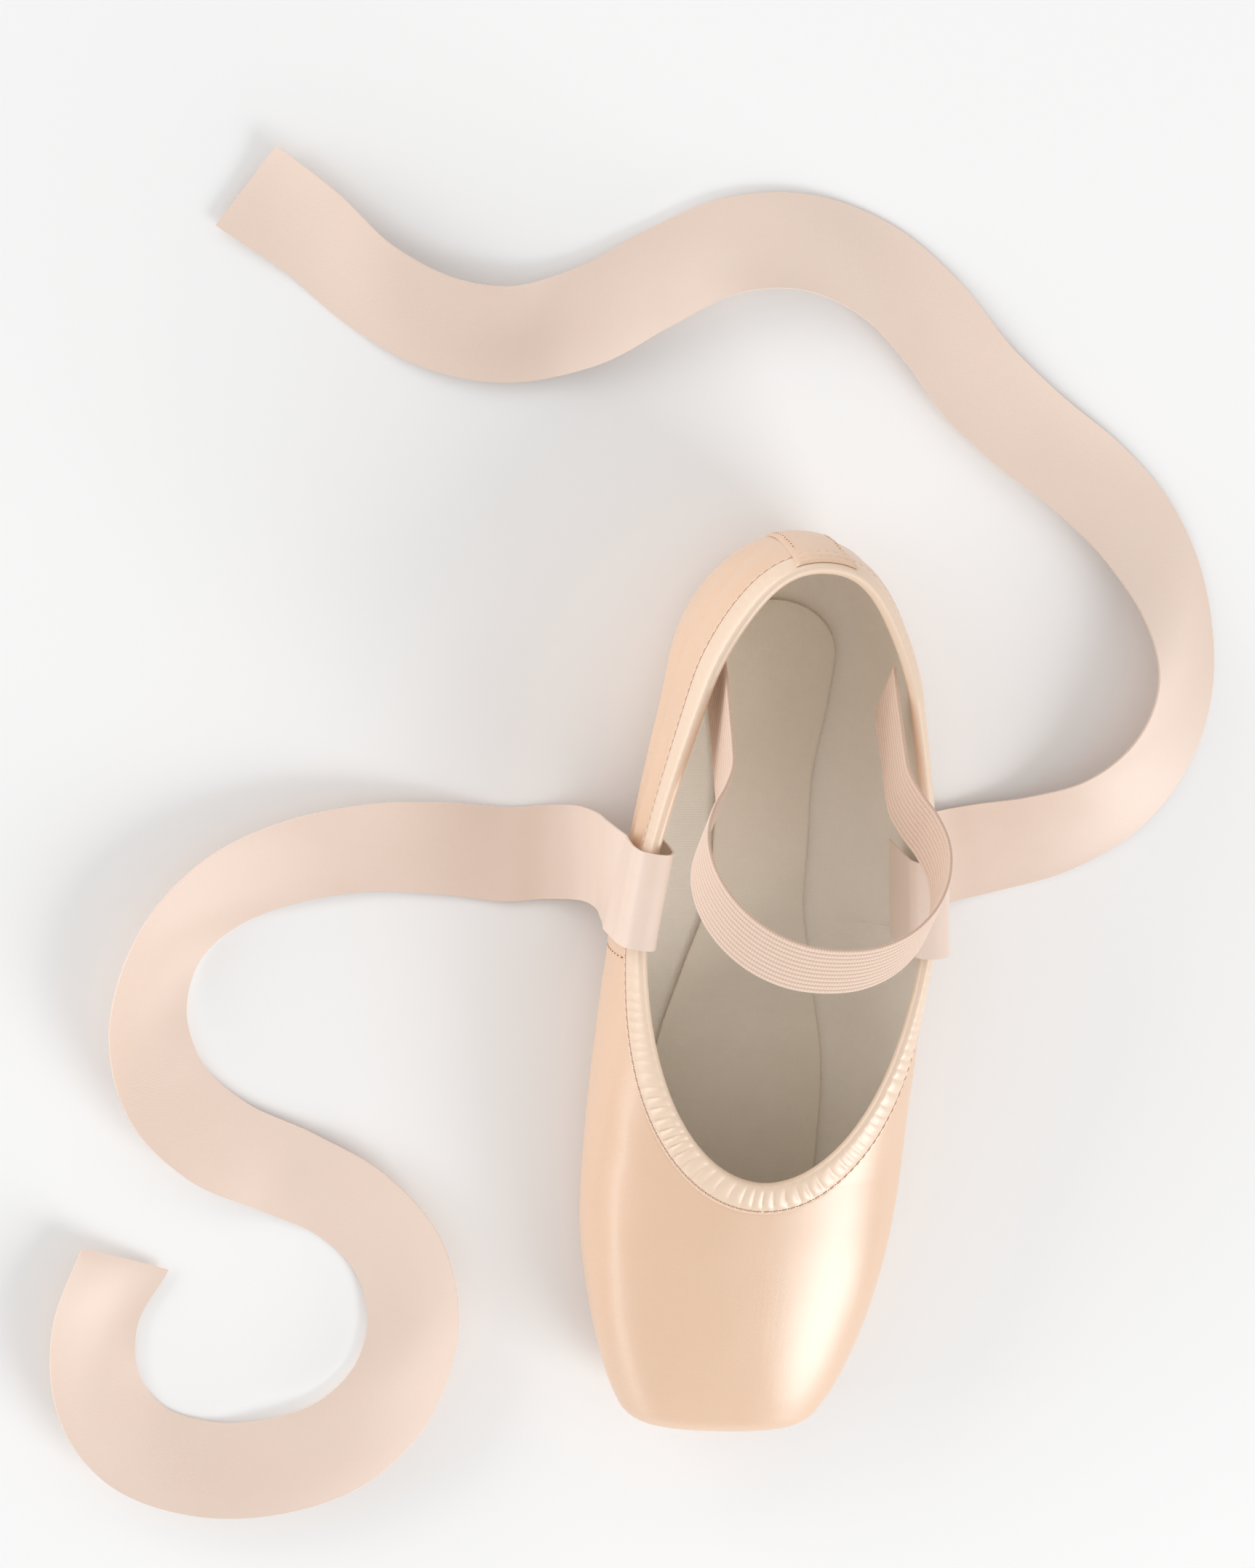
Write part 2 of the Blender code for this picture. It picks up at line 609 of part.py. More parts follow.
def elastic(tree):
    """Ribbed band in its worn form: an arch in a leaning plane, its ends against the inside of the quarters."""
    half = np.array(ELASTIC_ARCH)
    left = half[::-1] * (-1, 1)
    path = spline_points(np.concatenate([left[:-1], half]), 2)
    lean = np.array([0.0, -math.cos(ELASTIC_LEAN), math.sin(ELASTIC_LEAN)])
    across = np.array([0.0, math.sin(ELASTIC_LEAN), math.cos(ELASTIC_LEAN)])
    base = np.array([0.0, ELASTIC_BASE[0] - MIDDLE, ELASTIC_BASE[1]])
    middle = base + path[:, 1:] * lean + path[:, :1] * (1, 0, 0)
    rings = []
    for share in (-0.5, 0.0, 0.5):
        column = middle + across * share * ELASTIC_WIDTH
        for point in column:
            side = math.copysign(1.0, point[0])
            start = Vector((0, point[1], point[2]))
            hit, _, _, reach = tree.ray_cast(start, Vector((side, 0, 0)))
            if hit is not None:
                point[0] = side * min(abs(point[0]), reach - ELASTIC_WALL_CLEARANCE)
        rings.append(column)
    sheet = np.stack(rings, axis=1)
    along = np.gradient(sheet, axis=0)
    broad = np.gradient(sheet, axis=1)
    normal = np.cross(along, broad)
    normal /= np.linalg.norm(normal, axis=-1, keepdims=True)
    lift = normal * ELASTIC_THICKNESS / 2
    ring = np.concatenate([sheet - lift, (sheet + lift)[:, ::-1]], axis=1)
    return loft("elastic", ring)


def ribbon(name, route):
    """Flat satin ribbon: level across its heading, turned about it by the route's roll."""
    table = np.array(route, dtype=float) * (0.001, 0.001, 0.001, math.pi / 180)
    read = spline_points(table, RIBBON_STEPS)
    middle, roll = read[:, :3], read[:, 3:]
    edge = RIBBON_WIDTH / 2
    middle[:, 2] += np.sqrt((edge * np.sin(roll[:, 0])) ** 2 + RIBBON_THICKNESS**2) - RIBBON_THICKNESS / 2
    along = np.gradient(middle, axis=0)
    reach = RIBBON_HEADING_REACH
    padded = np.pad(along[:, :2], ((reach, reach), (0, 0)), mode="edge")
    heading = sum(padded[k:k + len(along)] for k in range(2 * reach + 1))
    level = np.stack([-heading[:, 1], heading[:, 0], np.zeros(len(along))], axis=1)
    level /= np.linalg.norm(level, axis=1, keepdims=True)
    up = np.cross(along, level)
    up /= np.linalg.norm(up, axis=1, keepdims=True)
    across = level * np.cos(roll) + up * np.sin(roll)
    return band_solid(name, middle, across, edge, RIBBON_THICKNESS)


def main():
    for old in list(bpy.data.objects):
        bpy.data.objects.remove(old, do_unlink=True)
    shoe = bpy.data.collections.new("pointe_shoe")
    bpy.context.scene.collection.children.link(shoe)
    tree = wall_tree()
    upper()
    plate("outsole", OUTSOLE_FRONT, OUTSOLE_BACK, (0.016, 0.012), OUTSOLE_SETBACK, OUTSOLE_THICKNESS, 0.0, OUTSOLE_EDGE)
    inside = OUTSOLE_THICKNESS + WALL + GAP + TAPE_GAP
    rounds = (0.016, 0.014)
    plate("insole", INSOLE_FRONT, INSOLE_BACK, rounds, INSOLE_SETBACK, inside + INSOLE_THICKNESS, inside, 0.0004)
    binding(tree)
    heel_strip()
    elastic(tree)
    ribbon("ribbon_right", RIBBON_RIGHT)
    ribbon("ribbon_left", RIBBON_LEFT)


main()
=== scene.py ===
# %% [markdown]
# # A pointe shoe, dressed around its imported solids
# A pointe shoe is a hollow satin shell with a stiff flat toe, a short leather sole, a tape folded over its
# collar, an elastic band and two ribbons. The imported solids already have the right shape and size. Each
# one is replaced here by a finer surface that lies in the same place and carries the real finish.

# %% Load the fixed frame
import math

import bmesh
import bpy
import numpy as np
from mathutils import Matrix, Vector


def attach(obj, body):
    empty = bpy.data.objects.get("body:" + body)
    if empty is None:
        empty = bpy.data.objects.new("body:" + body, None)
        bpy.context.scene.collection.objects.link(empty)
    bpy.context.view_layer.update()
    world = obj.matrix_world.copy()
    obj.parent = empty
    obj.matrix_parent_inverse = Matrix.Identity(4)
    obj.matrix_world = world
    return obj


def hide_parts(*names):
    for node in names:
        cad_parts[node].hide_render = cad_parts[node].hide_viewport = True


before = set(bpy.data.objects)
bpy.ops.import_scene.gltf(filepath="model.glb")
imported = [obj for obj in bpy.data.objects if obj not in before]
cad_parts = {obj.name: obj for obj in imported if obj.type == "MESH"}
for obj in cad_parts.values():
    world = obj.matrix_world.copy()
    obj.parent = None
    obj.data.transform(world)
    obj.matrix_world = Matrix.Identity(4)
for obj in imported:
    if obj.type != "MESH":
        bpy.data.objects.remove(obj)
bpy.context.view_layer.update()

# %% [markdown]
# ## The camera
# The photograph looks at the top of the shoe, a little from the heel and from one side, with the toe at
# the bottom of the picture. A long lens far away keeps that flat look. The camera is placed by one point:
# the toe's tip has to land on its own pixel, and the rest follows from the picture's scale.

# %% Camera
PICTURE = (1725, 2156)
TOE_PIXEL = (985, 1951)
PIXELS_PER_METRE = 5430.0
TOE_POINT = Vector((0.0, -0.1155, 0.018))
TOWARDS_CAMERA = Vector((-0.198, 0.220, 0.950)).normalized()
CAMERA_DISTANCE = 1.3
CAMERA_ROLL = math.radians(4.6)
SENSOR = 36.0


def facing(place, backwards, up):
    """Matrix of a camera or a light: its own Z is backwards, and its Y is as near to up as it can be."""
    back = backwards.normalized()
    right = up.cross(back).normalized()
    return Matrix.Translation(place) @ Matrix((right, back.cross(right), back)).transposed().to_4x4()


def add_camera():
    """Camera whose target is the toe's point, moved by the toe pixel's distance from the middle."""
    up = Vector((-math.sin(CAMERA_ROLL), math.cos(CAMERA_ROLL), 0))
    turned = facing(Vector(), TOWARDS_CAMERA, up).to_3x3()
    right_shift = (TOE_PIXEL[0] - PICTURE[0] / 2) / PIXELS_PER_METRE
    down_shift = (TOE_PIXEL[1] - PICTURE[1] / 2) / PIXELS_PER_METRE
    target = TOE_POINT - turned.col[0] * right_shift + turned.col[1] * down_shift
    data = bpy.data.cameras.new("camera")
    data.sensor_fit = "HORIZONTAL"
    data.sensor_width = SENSOR
    data.lens = SENSOR * CAMERA_DISTANCE * PIXELS_PER_METRE / PICTURE[0]
    data.clip_start = 0.05
    camera = bpy.data.objects.new("camera", data)
    camera.matrix_world = facing(target + TOWARDS_CAMERA * CAMERA_DISTANCE, TOWARDS_CAMERA, up)
    bpy.context.scene.collection.objects.link(camera)
    bpy.context.scene.camera = camera
    return camera


print("lens", round(add_camera().data.lens, 1), "mm")

# %% [markdown]
# ## How a finish is built
# A finish is a Principled shader with a few procedural nodes before it. One short helper adds a node and
# fills its sockets, another gives the fine woven stripes that nearly all cloth here shares. Sizes of
# weaves are real ones in metres, because the charts are in metres too.

# %% Helpers for finishes
def put(tree, kind, sockets, out=0, **settings):
    """New node of a kind: settings are its properties, sockets get a value or another node's output."""
    node = tree.nodes.new("ShaderNode" + kind)
    for key, value in settings.items():
        setattr(node, key, value)
    for key, value in sockets.items():
        if isinstance(value, bpy.types.NodeSocket):
            tree.links.new(value, node.inputs[key])
        else:
            node.inputs[key].default_value = value
    return node.outputs[out]


def calc(tree, operation, first, second=0.0):
    """One sum on two numbers."""
    return put(tree, "Math", {0: first, 1: second}, operation=operation)


def weighed(tree, first, weight, second, other):
    """First times its weight plus second times the other weight."""
    return calc(tree, "ADD", calc(tree, "MULTIPLY", first, weight), calc(tree, "MULTIPLY", second, other))


def blend_colours(tree, share, first, second):
    """The first colour at share 0, the second at share 1."""
    return put(tree, "Mix", {0: share, 6: first, 7: second}, out=2, data_type="RGBA")


def new_finish(name, **constants):
    """Empty Principled material; constants are set on the shader's own sockets."""
    material = bpy.data.materials.new(name)
    material.use_nodes = True
    shader = material.node_tree.nodes["Principled BSDF"]
    for key, value in constants.items():
        shader.inputs[key.replace("_", " ")].default_value = value
    return material, material.node_tree, shader


def cloth_chart(tree):
    """Place on the flat cloth in metres, from the piece's own UV map."""
    return put(tree, "UVMap", {}, uv_map="cloth")


def stripes(tree, chart, pitch, turn, distortion=0.5):
    """Even waves across the chart with the given pitch in metres, turned by an angle."""
    turned = put(tree, "Mapping", {"Vector": chart, "Rotation": (0, 0, turn)})
    sockets = {"Vector": turned, "Scale": math.pi / (10 * pitch), "Distortion": distortion, "Detail": 1.0}
    return put(tree, "TexWave", sockets, out=1)


def noise(tree, where, size, detail=2.0, stretch=(1, 1, 1)):
    """Cloudy noise whose patches are about size metres across, stretched along an axis if need be."""
    scaled = put(tree, "Mapping", {"Vector": where, "Scale": stretch})
    return put(tree, "TexNoise", {"Vector": scaled, "Scale": 1 / size, "Detail": detail, "Roughness": 0.55})


def relief(tree, shader, *layers):
    """Bump layers, each a height socket and its depth in metres, one on top of the other."""
    normal = None
    for height, depth in layers:
        sockets = {"Height": height, "Distance": depth, "Strength": 1.0}
        if normal is not None:
            sockets["Normal"] = normal
        normal = put(tree, "Bump", sockets)
    tree.links.new(normal, shader.inputs["Normal"])


# %% [markdown]
# ## The studio
# The shoe stands on near-white paper. Satin shows its form only through long soft reflections, so area
# lights do most of the work over an even sky: a strong box on the right, a large one at the left rear, a
# low strip on the left that draws the light line along the toe box, and a weak one behind the heel.

# %% Studio
SKY_STRENGTH = 0.60
BOX_DISTANCE = 2.2
SOFT_BOXES = (
    # name, turn from the right and height in degrees, width and height in metres, radiance
    ("key", -42, 27, 1.20, 1.55, 4.8),
    ("left", -150, 1.8, 3.20, 0.135, 5.0),
    ("fill", 158, 20, 2.60, 1.20, 2.20),
    ("heel", 100, 35, 1.60, 0.80, 0.8),
)


def add_soft_box(name, turn, rise, width, height, radiance):
    """Rectangular area light aimed at the shoe; its power is radiance times pi times its area."""
    data = bpy.data.lights.new(name, "AREA")
    data.shape = "RECTANGLE"
    data.size = width
    data.size_y = height
    data.energy = radiance * math.pi * width * height
    light = bpy.data.objects.new(name, data)
    turn, rise = math.radians(turn), math.radians(rise)
    towards = Vector((math.cos(turn) * math.cos(rise), math.sin(turn) * math.cos(rise), math.sin(rise)))
    light.matrix_world = facing(towards * BOX_DISTANCE, towards, Vector((0, 0, 1)))
    bpy.context.scene.collection.objects.link(light)


def add_studio():
    """Even sky, soft boxes and a flat floor that isn't part of the shoe."""
    scene = bpy.context.scene
    scene.view_settings.view_transform = "Standard"
    world = bpy.data.worlds.new("sky")
    world.use_nodes = True
    world.node_tree.nodes["Background"].inputs["Color"].default_value = (1, 1, 1, 1)
    world.node_tree.nodes["Background"].inputs["Strength"].default_value = SKY_STRENGTH
    scene.world = world
    for box in SOFT_BOXES:
        add_soft_box(*box)
    bpy.ops.mesh.primitive_plane_add(size=30)
    floor = bpy.context.object
    floor.name = "floor"
    paper = new_finish("paper", Base_Color=(0.95, 0.95, 0.95, 1), Roughness=0.9, Specular_IOR_Level=0.0)
    floor.data.materials.append(paper[0])


add_studio()
print("soft boxes", len(SOFT_BOXES))

# %% [markdown]
# ## From a grid of points to a mesh
# Every piece below is one or more grids of points worked out as whole arrays. Each grid also carries its
# chart: where each point lies on the flat cloth, in metres. The chart becomes the UV map, so a weave keeps
# its true scale and follows the surface. Points that coincide are merged, which closes seams and poles.

# %% Grids to meshes
MERGE = 2e-6
SHARP = math.radians(50)


def grid_quads(count, rows, columns):
    """Corner numbers of all quads in a stack of count grids of rows by columns."""
    k = np.arange(count * rows * columns).reshape(count, rows, columns)
    corners = [k[:, :-1, :-1], k[:, 1:, :-1], k[:, 1:, 1:], k[:, :-1, 1:]]
    return np.stack(corners, axis=-1).reshape(-1, 4)


def surface(name, grids, finishes, marks=None):
    """Mesh through grids, each (points, chart, number of its finish); marks are numbers for each point."""
    points, chart, quads, numbers, start = [], [], [], [], 0
    for spots, flat, *number in grids:
        spots = spots.reshape((-1,) + spots.shape[-3:])
        points.append(spots.reshape(-1, 3))
        chart.append(np.broadcast_to(flat, spots.shape[:-1] + (2,)).reshape(-1, 2))
        quads.append(grid_quads(*spots.shape[:3]) + start)
        numbers.append(np.full(len(quads[-1]), sum(number)))
        start += points[-1].shape[0]
    points, chart, quads, numbers = (np.concatenate(part) for part in (points, chart, quads, numbers))
    mesh = bpy.data.meshes.new(name)
    mesh.from_pydata(points.tolist(), [], quads.tolist())
    for finish in finishes:
        mesh.materials.append(finish)
    mesh.polygons.foreach_set("material_index", numbers.astype(np.int32))
    layer = mesh.uv_layers.new(name="cloth")
    layer.data.foreach_set("uv", chart[quads.ravel()].astype(np.float32).ravel())
    for mark, values in (marks or {}).items():
        attribute = mesh.attributes.new(mark, "FLOAT", "POINT")
        attribute.data.foreach_set("value", np.concatenate([v.ravel() for v in values]).astype(np.float32))
    work = bmesh.new()
    work.from_mesh(mesh)
    bmesh.ops.remove_doubles(work, verts=work.verts[:], dist=MERGE)
    bmesh.ops.dissolve_degenerate(work, edges=work.edges[:], dist=MERGE)
    bmesh.ops.recalc_face_normals(work, faces=work.faces[:])
    work.to_mesh(mesh)
    work.free()
    mesh.shade_smooth()
    mesh.set_sharp_from_angle(angle=SHARP)
    piece = bpy.data.objects.new(name, mesh)
    bpy.context.scene.collection.objects.link(piece)
    print(name, len(mesh.polygons), "faces")
    return piece


def seat(piece, slot, *nodes):
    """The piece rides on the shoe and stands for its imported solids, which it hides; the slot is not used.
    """
    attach(piece, "root")
    if nodes:
        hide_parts(*nodes)
    return piece


def unit(vectors):
    """The same directions with length one."""
    return vectors / np.maximum(np.linalg.norm(vectors, axis=-1, keepdims=True), 1e-12)


def smooth(x):
    """Soft step: 0 below 0, 1 above 1, with a level start and end."""
    x = np.clip(x, 0, 1)
    return x * x * (3 - 2 * x)


def bump_at(x, width):
    """Bell curve of height 1 and the given half width."""
    return np.exp(-((x / width) ** 2))


def paired(*parts):
    """Arrays stretched over each other and joined as the last axis of one."""
    return np.stack(np.broadcast_arrays(*parts), axis=-1)


def distances(line):
    """Distance of each point of a line from its first, measured along the line."""
    return np.concatenate([[0], np.cumsum(np.linalg.norm(np.diff(line, axis=0), axis=1))])


def cubic(values, slope, step, k, t):
    """Cubic from knot k to the next at share t of the step, through both values with both slopes."""
    start = values[k] * (1 + 2 * t) * (1 - t) ** 2 + slope[k] * step * t * (1 - t) ** 2
    return start + values[k + 1] * t**2 * (3 - 2 * t) + slope[k + 1] * step * t**2 * (t - 1)


def band(name, top, low, run, across, finish, **marks):
    """Closed grid: columns over the top, back under it and round to the first, with chart and marks."""
    def closed(over, under):
        return np.concatenate([over, under[:, ::-1], over[:, :1]], axis=1)
    chart = paired(run[:, None], across)
    sheets = {mark: np.broadcast_to(values, top.shape[:2]) for mark, values in marks.items()}
    loops = {mark: [closed(sheet, sheet)] for mark, sheet in sheets.items()}
    return surface(name, [(closed(top, low), closed(chart, chart))], [finish], loops)


# %% [markdown]
# ## Satin
# Satin has long floating threads, so it is glossy but soft, with a faint diagonal weave that shows close
# up. The highlight is drawn out along the threads, which anisotropy gives. A weak sheen lifts the edges
# where the cloth turns away, and a slow variation in colour and gloss keeps it from looking like plastic.
# Waves and noise on the cloth's own chart make all this without a picture, at a scale that stays true.

# %% Satin of the shoe
def satin(name, colour, shade, roughness, pitch, gloss, sheen):
    """Peach satin: twill stripes, slubs along the warp, slow clouds in colour and gloss."""
    material, tree, shader = new_finish(
        name, IOR=1.7, Specular_IOR_Level=gloss, Anisotropic=0.35, Sheen_Weight=sheen,
        Sheen_Roughness=0.45, Sheen_Tint=(1.0, 0.92, 0.84, 1),
    )
    chart = cloth_chart(tree)
    twill = stripes(tree, chart, pitch, math.radians(38))
    slub = noise(tree, chart, 0.0011, 1.0, (0.12, 1, 1))
    cloud = noise(tree, chart, 0.022, 2.0, (0.6, 1, 1))
    tone = weighed(tree, cloud, 0.55, twill, 0.34)
    tree.links.new(blend_colours(tree, tone, shade, colour), shader.inputs["Base Color"])
    rough = calc(tree, "ADD", calc(tree, "MULTIPLY", cloud, 0.08), roughness - 0.04)
    tree.links.new(rough, shader.inputs["Roughness"])
    relief(tree, shader, (cloud, 0.00018), (slub, 0.000012), (twill, 0.000014))
    along = put(tree, "Tangent", {}, direction_type="UV_MAP", uv_map="cloth")
    tree.links.new(along, shader.inputs["Tangent"])
    return material


PEACH = (0.850, 0.590, 0.410, 1)
PEACH_SHADE = (0.770, 0.505, 0.335, 1)
SHOE_SATIN = satin("shoe_satin", PEACH, PEACH_SHADE, 0.33, 0.00046, 0.95, 0.10)
TAPE_SATIN = satin("tape_satin", (0.885, 0.700, 0.540, 1), (0.82, 0.60, 0.435, 1), 0.38, 0.00046, 0.80, 0.15)
print("satins made")

# %% [markdown]
# ## Cotton, thread, leather and elastic
# The lining is plain cotton drill, off white. The insole is a smooth cloth on board. The outsole is suede:
# a fine nap from noise, with painted shade in its scored cuts. Elastic web shows its ribs in its shape, and
# its finish adds the fine cross threads and painted shade between the ribs. Thread is thin enough for one
# colour and a twist. All of them share the helpers above and differ only in their waves, noises and sockets.

# %% The other finishes
def cotton(name, colour, shade, pitch):
    """Plain weave: two sets of waves at right angles, their higher one on top."""
    material, tree, shader = new_finish(name, Roughness=0.85, Specular_IOR_Level=0.25, Sheen_Weight=0.2)
    chart = cloth_chart(tree)
    warp = stripes(tree, chart, pitch, 0.0)
    weft = stripes(tree, chart, pitch, math.pi / 2)
    weave = calc(tree, "MAXIMUM", warp, weft)
    cloud = noise(tree, chart, 0.012)
    tone = weighed(tree, weave, 0.5, cloud, 0.5)
    tree.links.new(blend_colours(tree, tone, shade, colour), shader.inputs["Base Color"])
    relief(tree, shader, (cloud, 0.0002), (weave, 0.00004))
    return material


def suede(name, colour, shade, cut_shade_colour):
    """Suede of the outsole: nap in two sizes, with painted shade in the scored cuts that the mesh marks."""
    material, tree, shader = new_finish(
        name, Roughness=0.88, Specular_IOR_Level=0.2, Sheen_Weight=0.3, Sheen_Roughness=0.6,
    )
    place = put(tree, "TexCoord", {}, out=3)
    nap = noise(tree, place, 0.0006, 3.0)
    cloud = noise(tree, place, 0.009, 3.0)
    hide = blend_colours(tree, weighed(tree, nap, 0.5, cloud, 0.5), shade, colour)
    cut = put(tree, "Attribute", {}, out=2, attribute_name="scored")
    # painted shade: the scored cuts take a dark colour for the shade inside them
    tree.links.new(blend_colours(tree, cut, hide, cut_shade_colour), shader.inputs["Base Color"])
    relief(tree, shader, (cloud, 0.0003), (nap, 0.00012))
    return material


def web(name, colour, shade):
    """Elastic web: cross threads along the ribs, and painted shade between the ribs."""
    material, tree, shader = new_finish(name, Roughness=0.7, Specular_IOR_Level=0.3, Sheen_Weight=0.25)
    chart = cloth_chart(tree)
    threads = stripes(tree, chart, 0.0007, 0.0, 0.8)
    rib = put(tree, "Attribute", {}, out=2, attribute_name="rib")
    # painted shade: where rib is low, between the ribs, the web takes its darker colour
    tone = weighed(tree, rib, 0.7, threads, 0.3)
    tree.links.new(blend_colours(tree, tone, shade, colour), shader.inputs["Base Color"])
    relief(tree, shader, (threads, 0.00006))
    return material


def strand(name, colour):
    """Sewing thread: one colour with a twist around it."""
    material, tree, shader = new_finish(name, Base_Color=colour, Roughness=0.6, Specular_IOR_Level=0.3)
    relief(tree, shader, (stripes(tree, cloth_chart(tree), 0.0005, math.radians(30)), 0.00003))
    return material


LINING = cotton("lining_cotton", (0.93, 0.87, 0.78, 1), (0.84, 0.75, 0.64, 1), 0.0006)
INSOLE_CLOTH = cotton("insole_cloth", (0.88, 0.80, 0.69, 1), (0.78, 0.68, 0.56, 1), 0.0005)
# the third colour is the painted shade in the scored cuts
SOLE_SUEDE = suede("sole_suede", (0.72, 0.50, 0.38, 1), (0.52, 0.33, 0.235, 1), (0.23, 0.125, 0.085, 1))
# the second colour is mostly painted shade between the ribs, partly the cross threads
ELASTIC_WEB = web("elastic_web", (0.86, 0.67, 0.55, 1), (0.60, 0.40, 0.30, 1))
PINK_THREAD = strand("pink_thread", (0.64, 0.40, 0.29, 1))
PEACH_THREAD = strand("peach_thread", (0.86, 0.62, 0.45, 1))
WHITE_THREAD = strand("white_thread", (0.88, 0.84, 0.77, 1))
PALE_PINK = (0.88, 0.725, 0.62, 1)
PALE_PINK_SHADE = (0.82, 0.635, 0.53, 1)
RIBBON_SATIN = satin("ribbon_satin", PALE_PINK, PALE_PINK_SHADE, 0.42, 0.00036, 0.35, 0.2)
print("finishes", len(bpy.data.materials))

# %% [markdown]
# ## The ribbons
# Each ribbon is sewn inside a quarter, goes up over the collar, falls to the floor and lies there in loose
# curves. Its route is a list of given points: where the middle goes, how high the lower edge is,
# and how far the band is turned on edge. A smooth curve goes through them, and the width is carried along
# it, with a slow ripple and a fine selvedge. Cloth simulation could lay it down too, but a listed route
# keeps its length and its curves exact.

# %% Ribbon routes
RIBBON_WIDTH = 0.024
RIBBON_SOLID = 0.0007
RIBBON_CLOTH = 0.00035
OVER_COLLAR = (
    # x, y and lift of the lower edge in millimetres, turn in degrees; from inside, up and down again
    (30.4, 26.56, 24, 0), (30.5, 26.57, 34, 0), (30.6, 26.58, 41, 0),
    (30.8, 26.6, 45.6, 0), (32.3, 26.78, 49, 0), (35.4, 27.1, 50.1, 0),
    (38.6, 27.4, 49, 0), (40.05, 27.55, 45.1, 0), (40.45, 27.6, 39, 0),
    (40.6, 27.63, 30, 0),
)
RIBBON_RIGHT = OVER_COLLAR + (
    (40.85, 27.67, 20, 0), (41.4, 27.8, 11, 0), (44.2, 28.2, 4.6, 0),
    (50.5, 29.2, 1.6, 0), (60, 31.4, 0.8, 3), (76, 36, 0.9, 10),
    (91, 45, 0.9, 22), (101, 60, 0.9, 34), (105, 79, 0.9, 38),
    (101, 98, 0.9, 32), (91, 114, 0.9, 22), (77, 127, 1, 12),
    (61, 138, 1.2, 8), (46, 150, 1, 8), (33, 164, 0.9, 12),
    (18, 176, 0.9, 18), (0, 182, 0.9, 24), (-19, 180, 0.9, 26),
    (-36, 171, 0.9, 20), (-52, 161, 1, 8), (-70, 156, 1.2, -6),
    (-89, 158, 0.9, -16), (-106, 166, 0.9, -22), (-121, 178, 0.9, -18),
    (-137, 188, 1, -8),
)
RIBBON_LEFT = tuple((-x, *rest) for x, *rest in OVER_COLLAR) + (
    (-40.85, 27.66, 20, 0), (-41.4, 27.7, 11, 0), (-44.2, 27.6, 4.6, 0),
    (-50.5, 27, 1.6, 0), (-60.5, 25.8, 0.8, 0), (-79, 27, 0.9, -6),
    (-98, 27, 0.9, -12), (-117, 23, 0.9, -20), (-134, 14, 0.9, -28),
    (-146, 0, 0.9, -34), (-150, -18, 0.9, -34), (-144, -36, 0.9, -26),
    (-130, -49, 0.9, -14), (-112, -57, 1.2, 0), (-95, -65, 1, 12),
    (-82, -78, 0.9, 20), (-77, -95, 0.9, 28), (-81, -113, 0.9, 32),
    (-93, -127, 0.9, 30), (-110, -134, 0.9, 24), (-128, -135, 0.9, 20),
    (-145, -129, 0.9, 22), (-156, -115, 0.9, 26), (-158, -97, 0.9, 22),
    (-151, -80, 0.9, 12),
)

# %% Ribbons
RIBBON_STEPS = 12
HEADING_REACH = 24
RIBBON_HELD, RIBBON_EASE = 0.10, 0.05
RIBBON_CURL, RIBBON_RIPPLE = 0.0007, 0.00045


def smooth_line(points, steps):
    """Cubic through the points with the given number of steps in each stretch, as on the solids."""
    run = distances(points[:, :3])
    chord = np.diff(run)
    slope = np.gradient(points, run, axis=0)
    at = np.linspace(0, len(chord), len(chord) * steps + 1)
    k = np.minimum(at.astype(int), len(chord) - 1)
    return cubic(points, slope, chord[k][:, None], k, (at - k)[:, None])


def ribbon_frame(route):
    """Middle line of a ribbon, its direction across and its upward normal."""
    read = smooth_line(np.array(route, dtype=float) * (0.001, 0.001, 0.001, math.pi / 180), RIBBON_STEPS)
    middle, roll = read[:, :3], read[:, 3:]
    tilt = RIBBON_WIDTH / 2 * np.sin(roll[:, 0])
    middle[:, 2] += np.sqrt(tilt**2 + RIBBON_SOLID**2) - RIBBON_SOLID / 2
    along = np.gradient(middle, axis=0)
    padded = np.pad(along[:, :2], ((HEADING_REACH, HEADING_REACH), (0, 0)), mode="edge")
    heading = sum(padded[k:k + len(along)] for k in range(2 * HEADING_REACH + 1))
    level = unit(np.stack([-heading[:, 1], heading[:, 0], np.zeros(len(along))], axis=1))
    up = unit(np.cross(along, level))
    across = level * np.cos(roll) + up * np.sin(roll)
    normal = unit(np.cross(along, across))
    return middle, across, normal * np.where(normal[:, 2:].mean() < 0, -1.0, 1.0)


def ribbon(name, node, route, phase):
    """Band of thirteen columns with slow waves and a curl of its edges, none where it passes the collar."""
    middle, across, normal = ribbon_frame(route)
    run = distances(middle)
    share = np.linspace(-1, 1, 13)
    free = smooth((run - RIBBON_HELD) / RIBBON_EASE)[:, None]
    curl = RIBBON_CURL * share**2 * (1 + np.sin(run / 0.019 + phase))[:, None]
    ripple = RIBBON_RIPPLE * (1 + np.sin(run[:, None] / 0.0095 + 2.2 * share + phase))
    sheet = middle[:, None] + across[:, None] * share[:, None] * RIBBON_WIDTH / 2
    sheet = sheet + normal[:, None] * (free * (curl + ripple))[..., None]
    selvedge = 1 + 0.5 * (np.abs(share) > 0.93)
    lift = normal[:, None] * selvedge[:, None] * RIBBON_CLOTH / 2
    lift[[0, -1]] = 0
    piece = band(name, sheet + lift, sheet - lift, run, share * RIBBON_WIDTH / 2, RIBBON_SATIN)
    seat(piece, "ribbon_satin", node)


ribbon("right_ribbon", "ribbon_right", RIBBON_RIGHT, 0.4)
ribbon("left_ribbon", "ribbon_left", RIBBON_LEFT, 2.1)

# %% [markdown]
# ## The shape of the last
# The upper's outer face is worked out from the last it is made on: a table of sections gives the width, the
# height of the widest place, the top and the flat of the bottom, as shares of the shoe's own dimensions.
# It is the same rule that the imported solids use, so the fine surface lies exactly where they are.

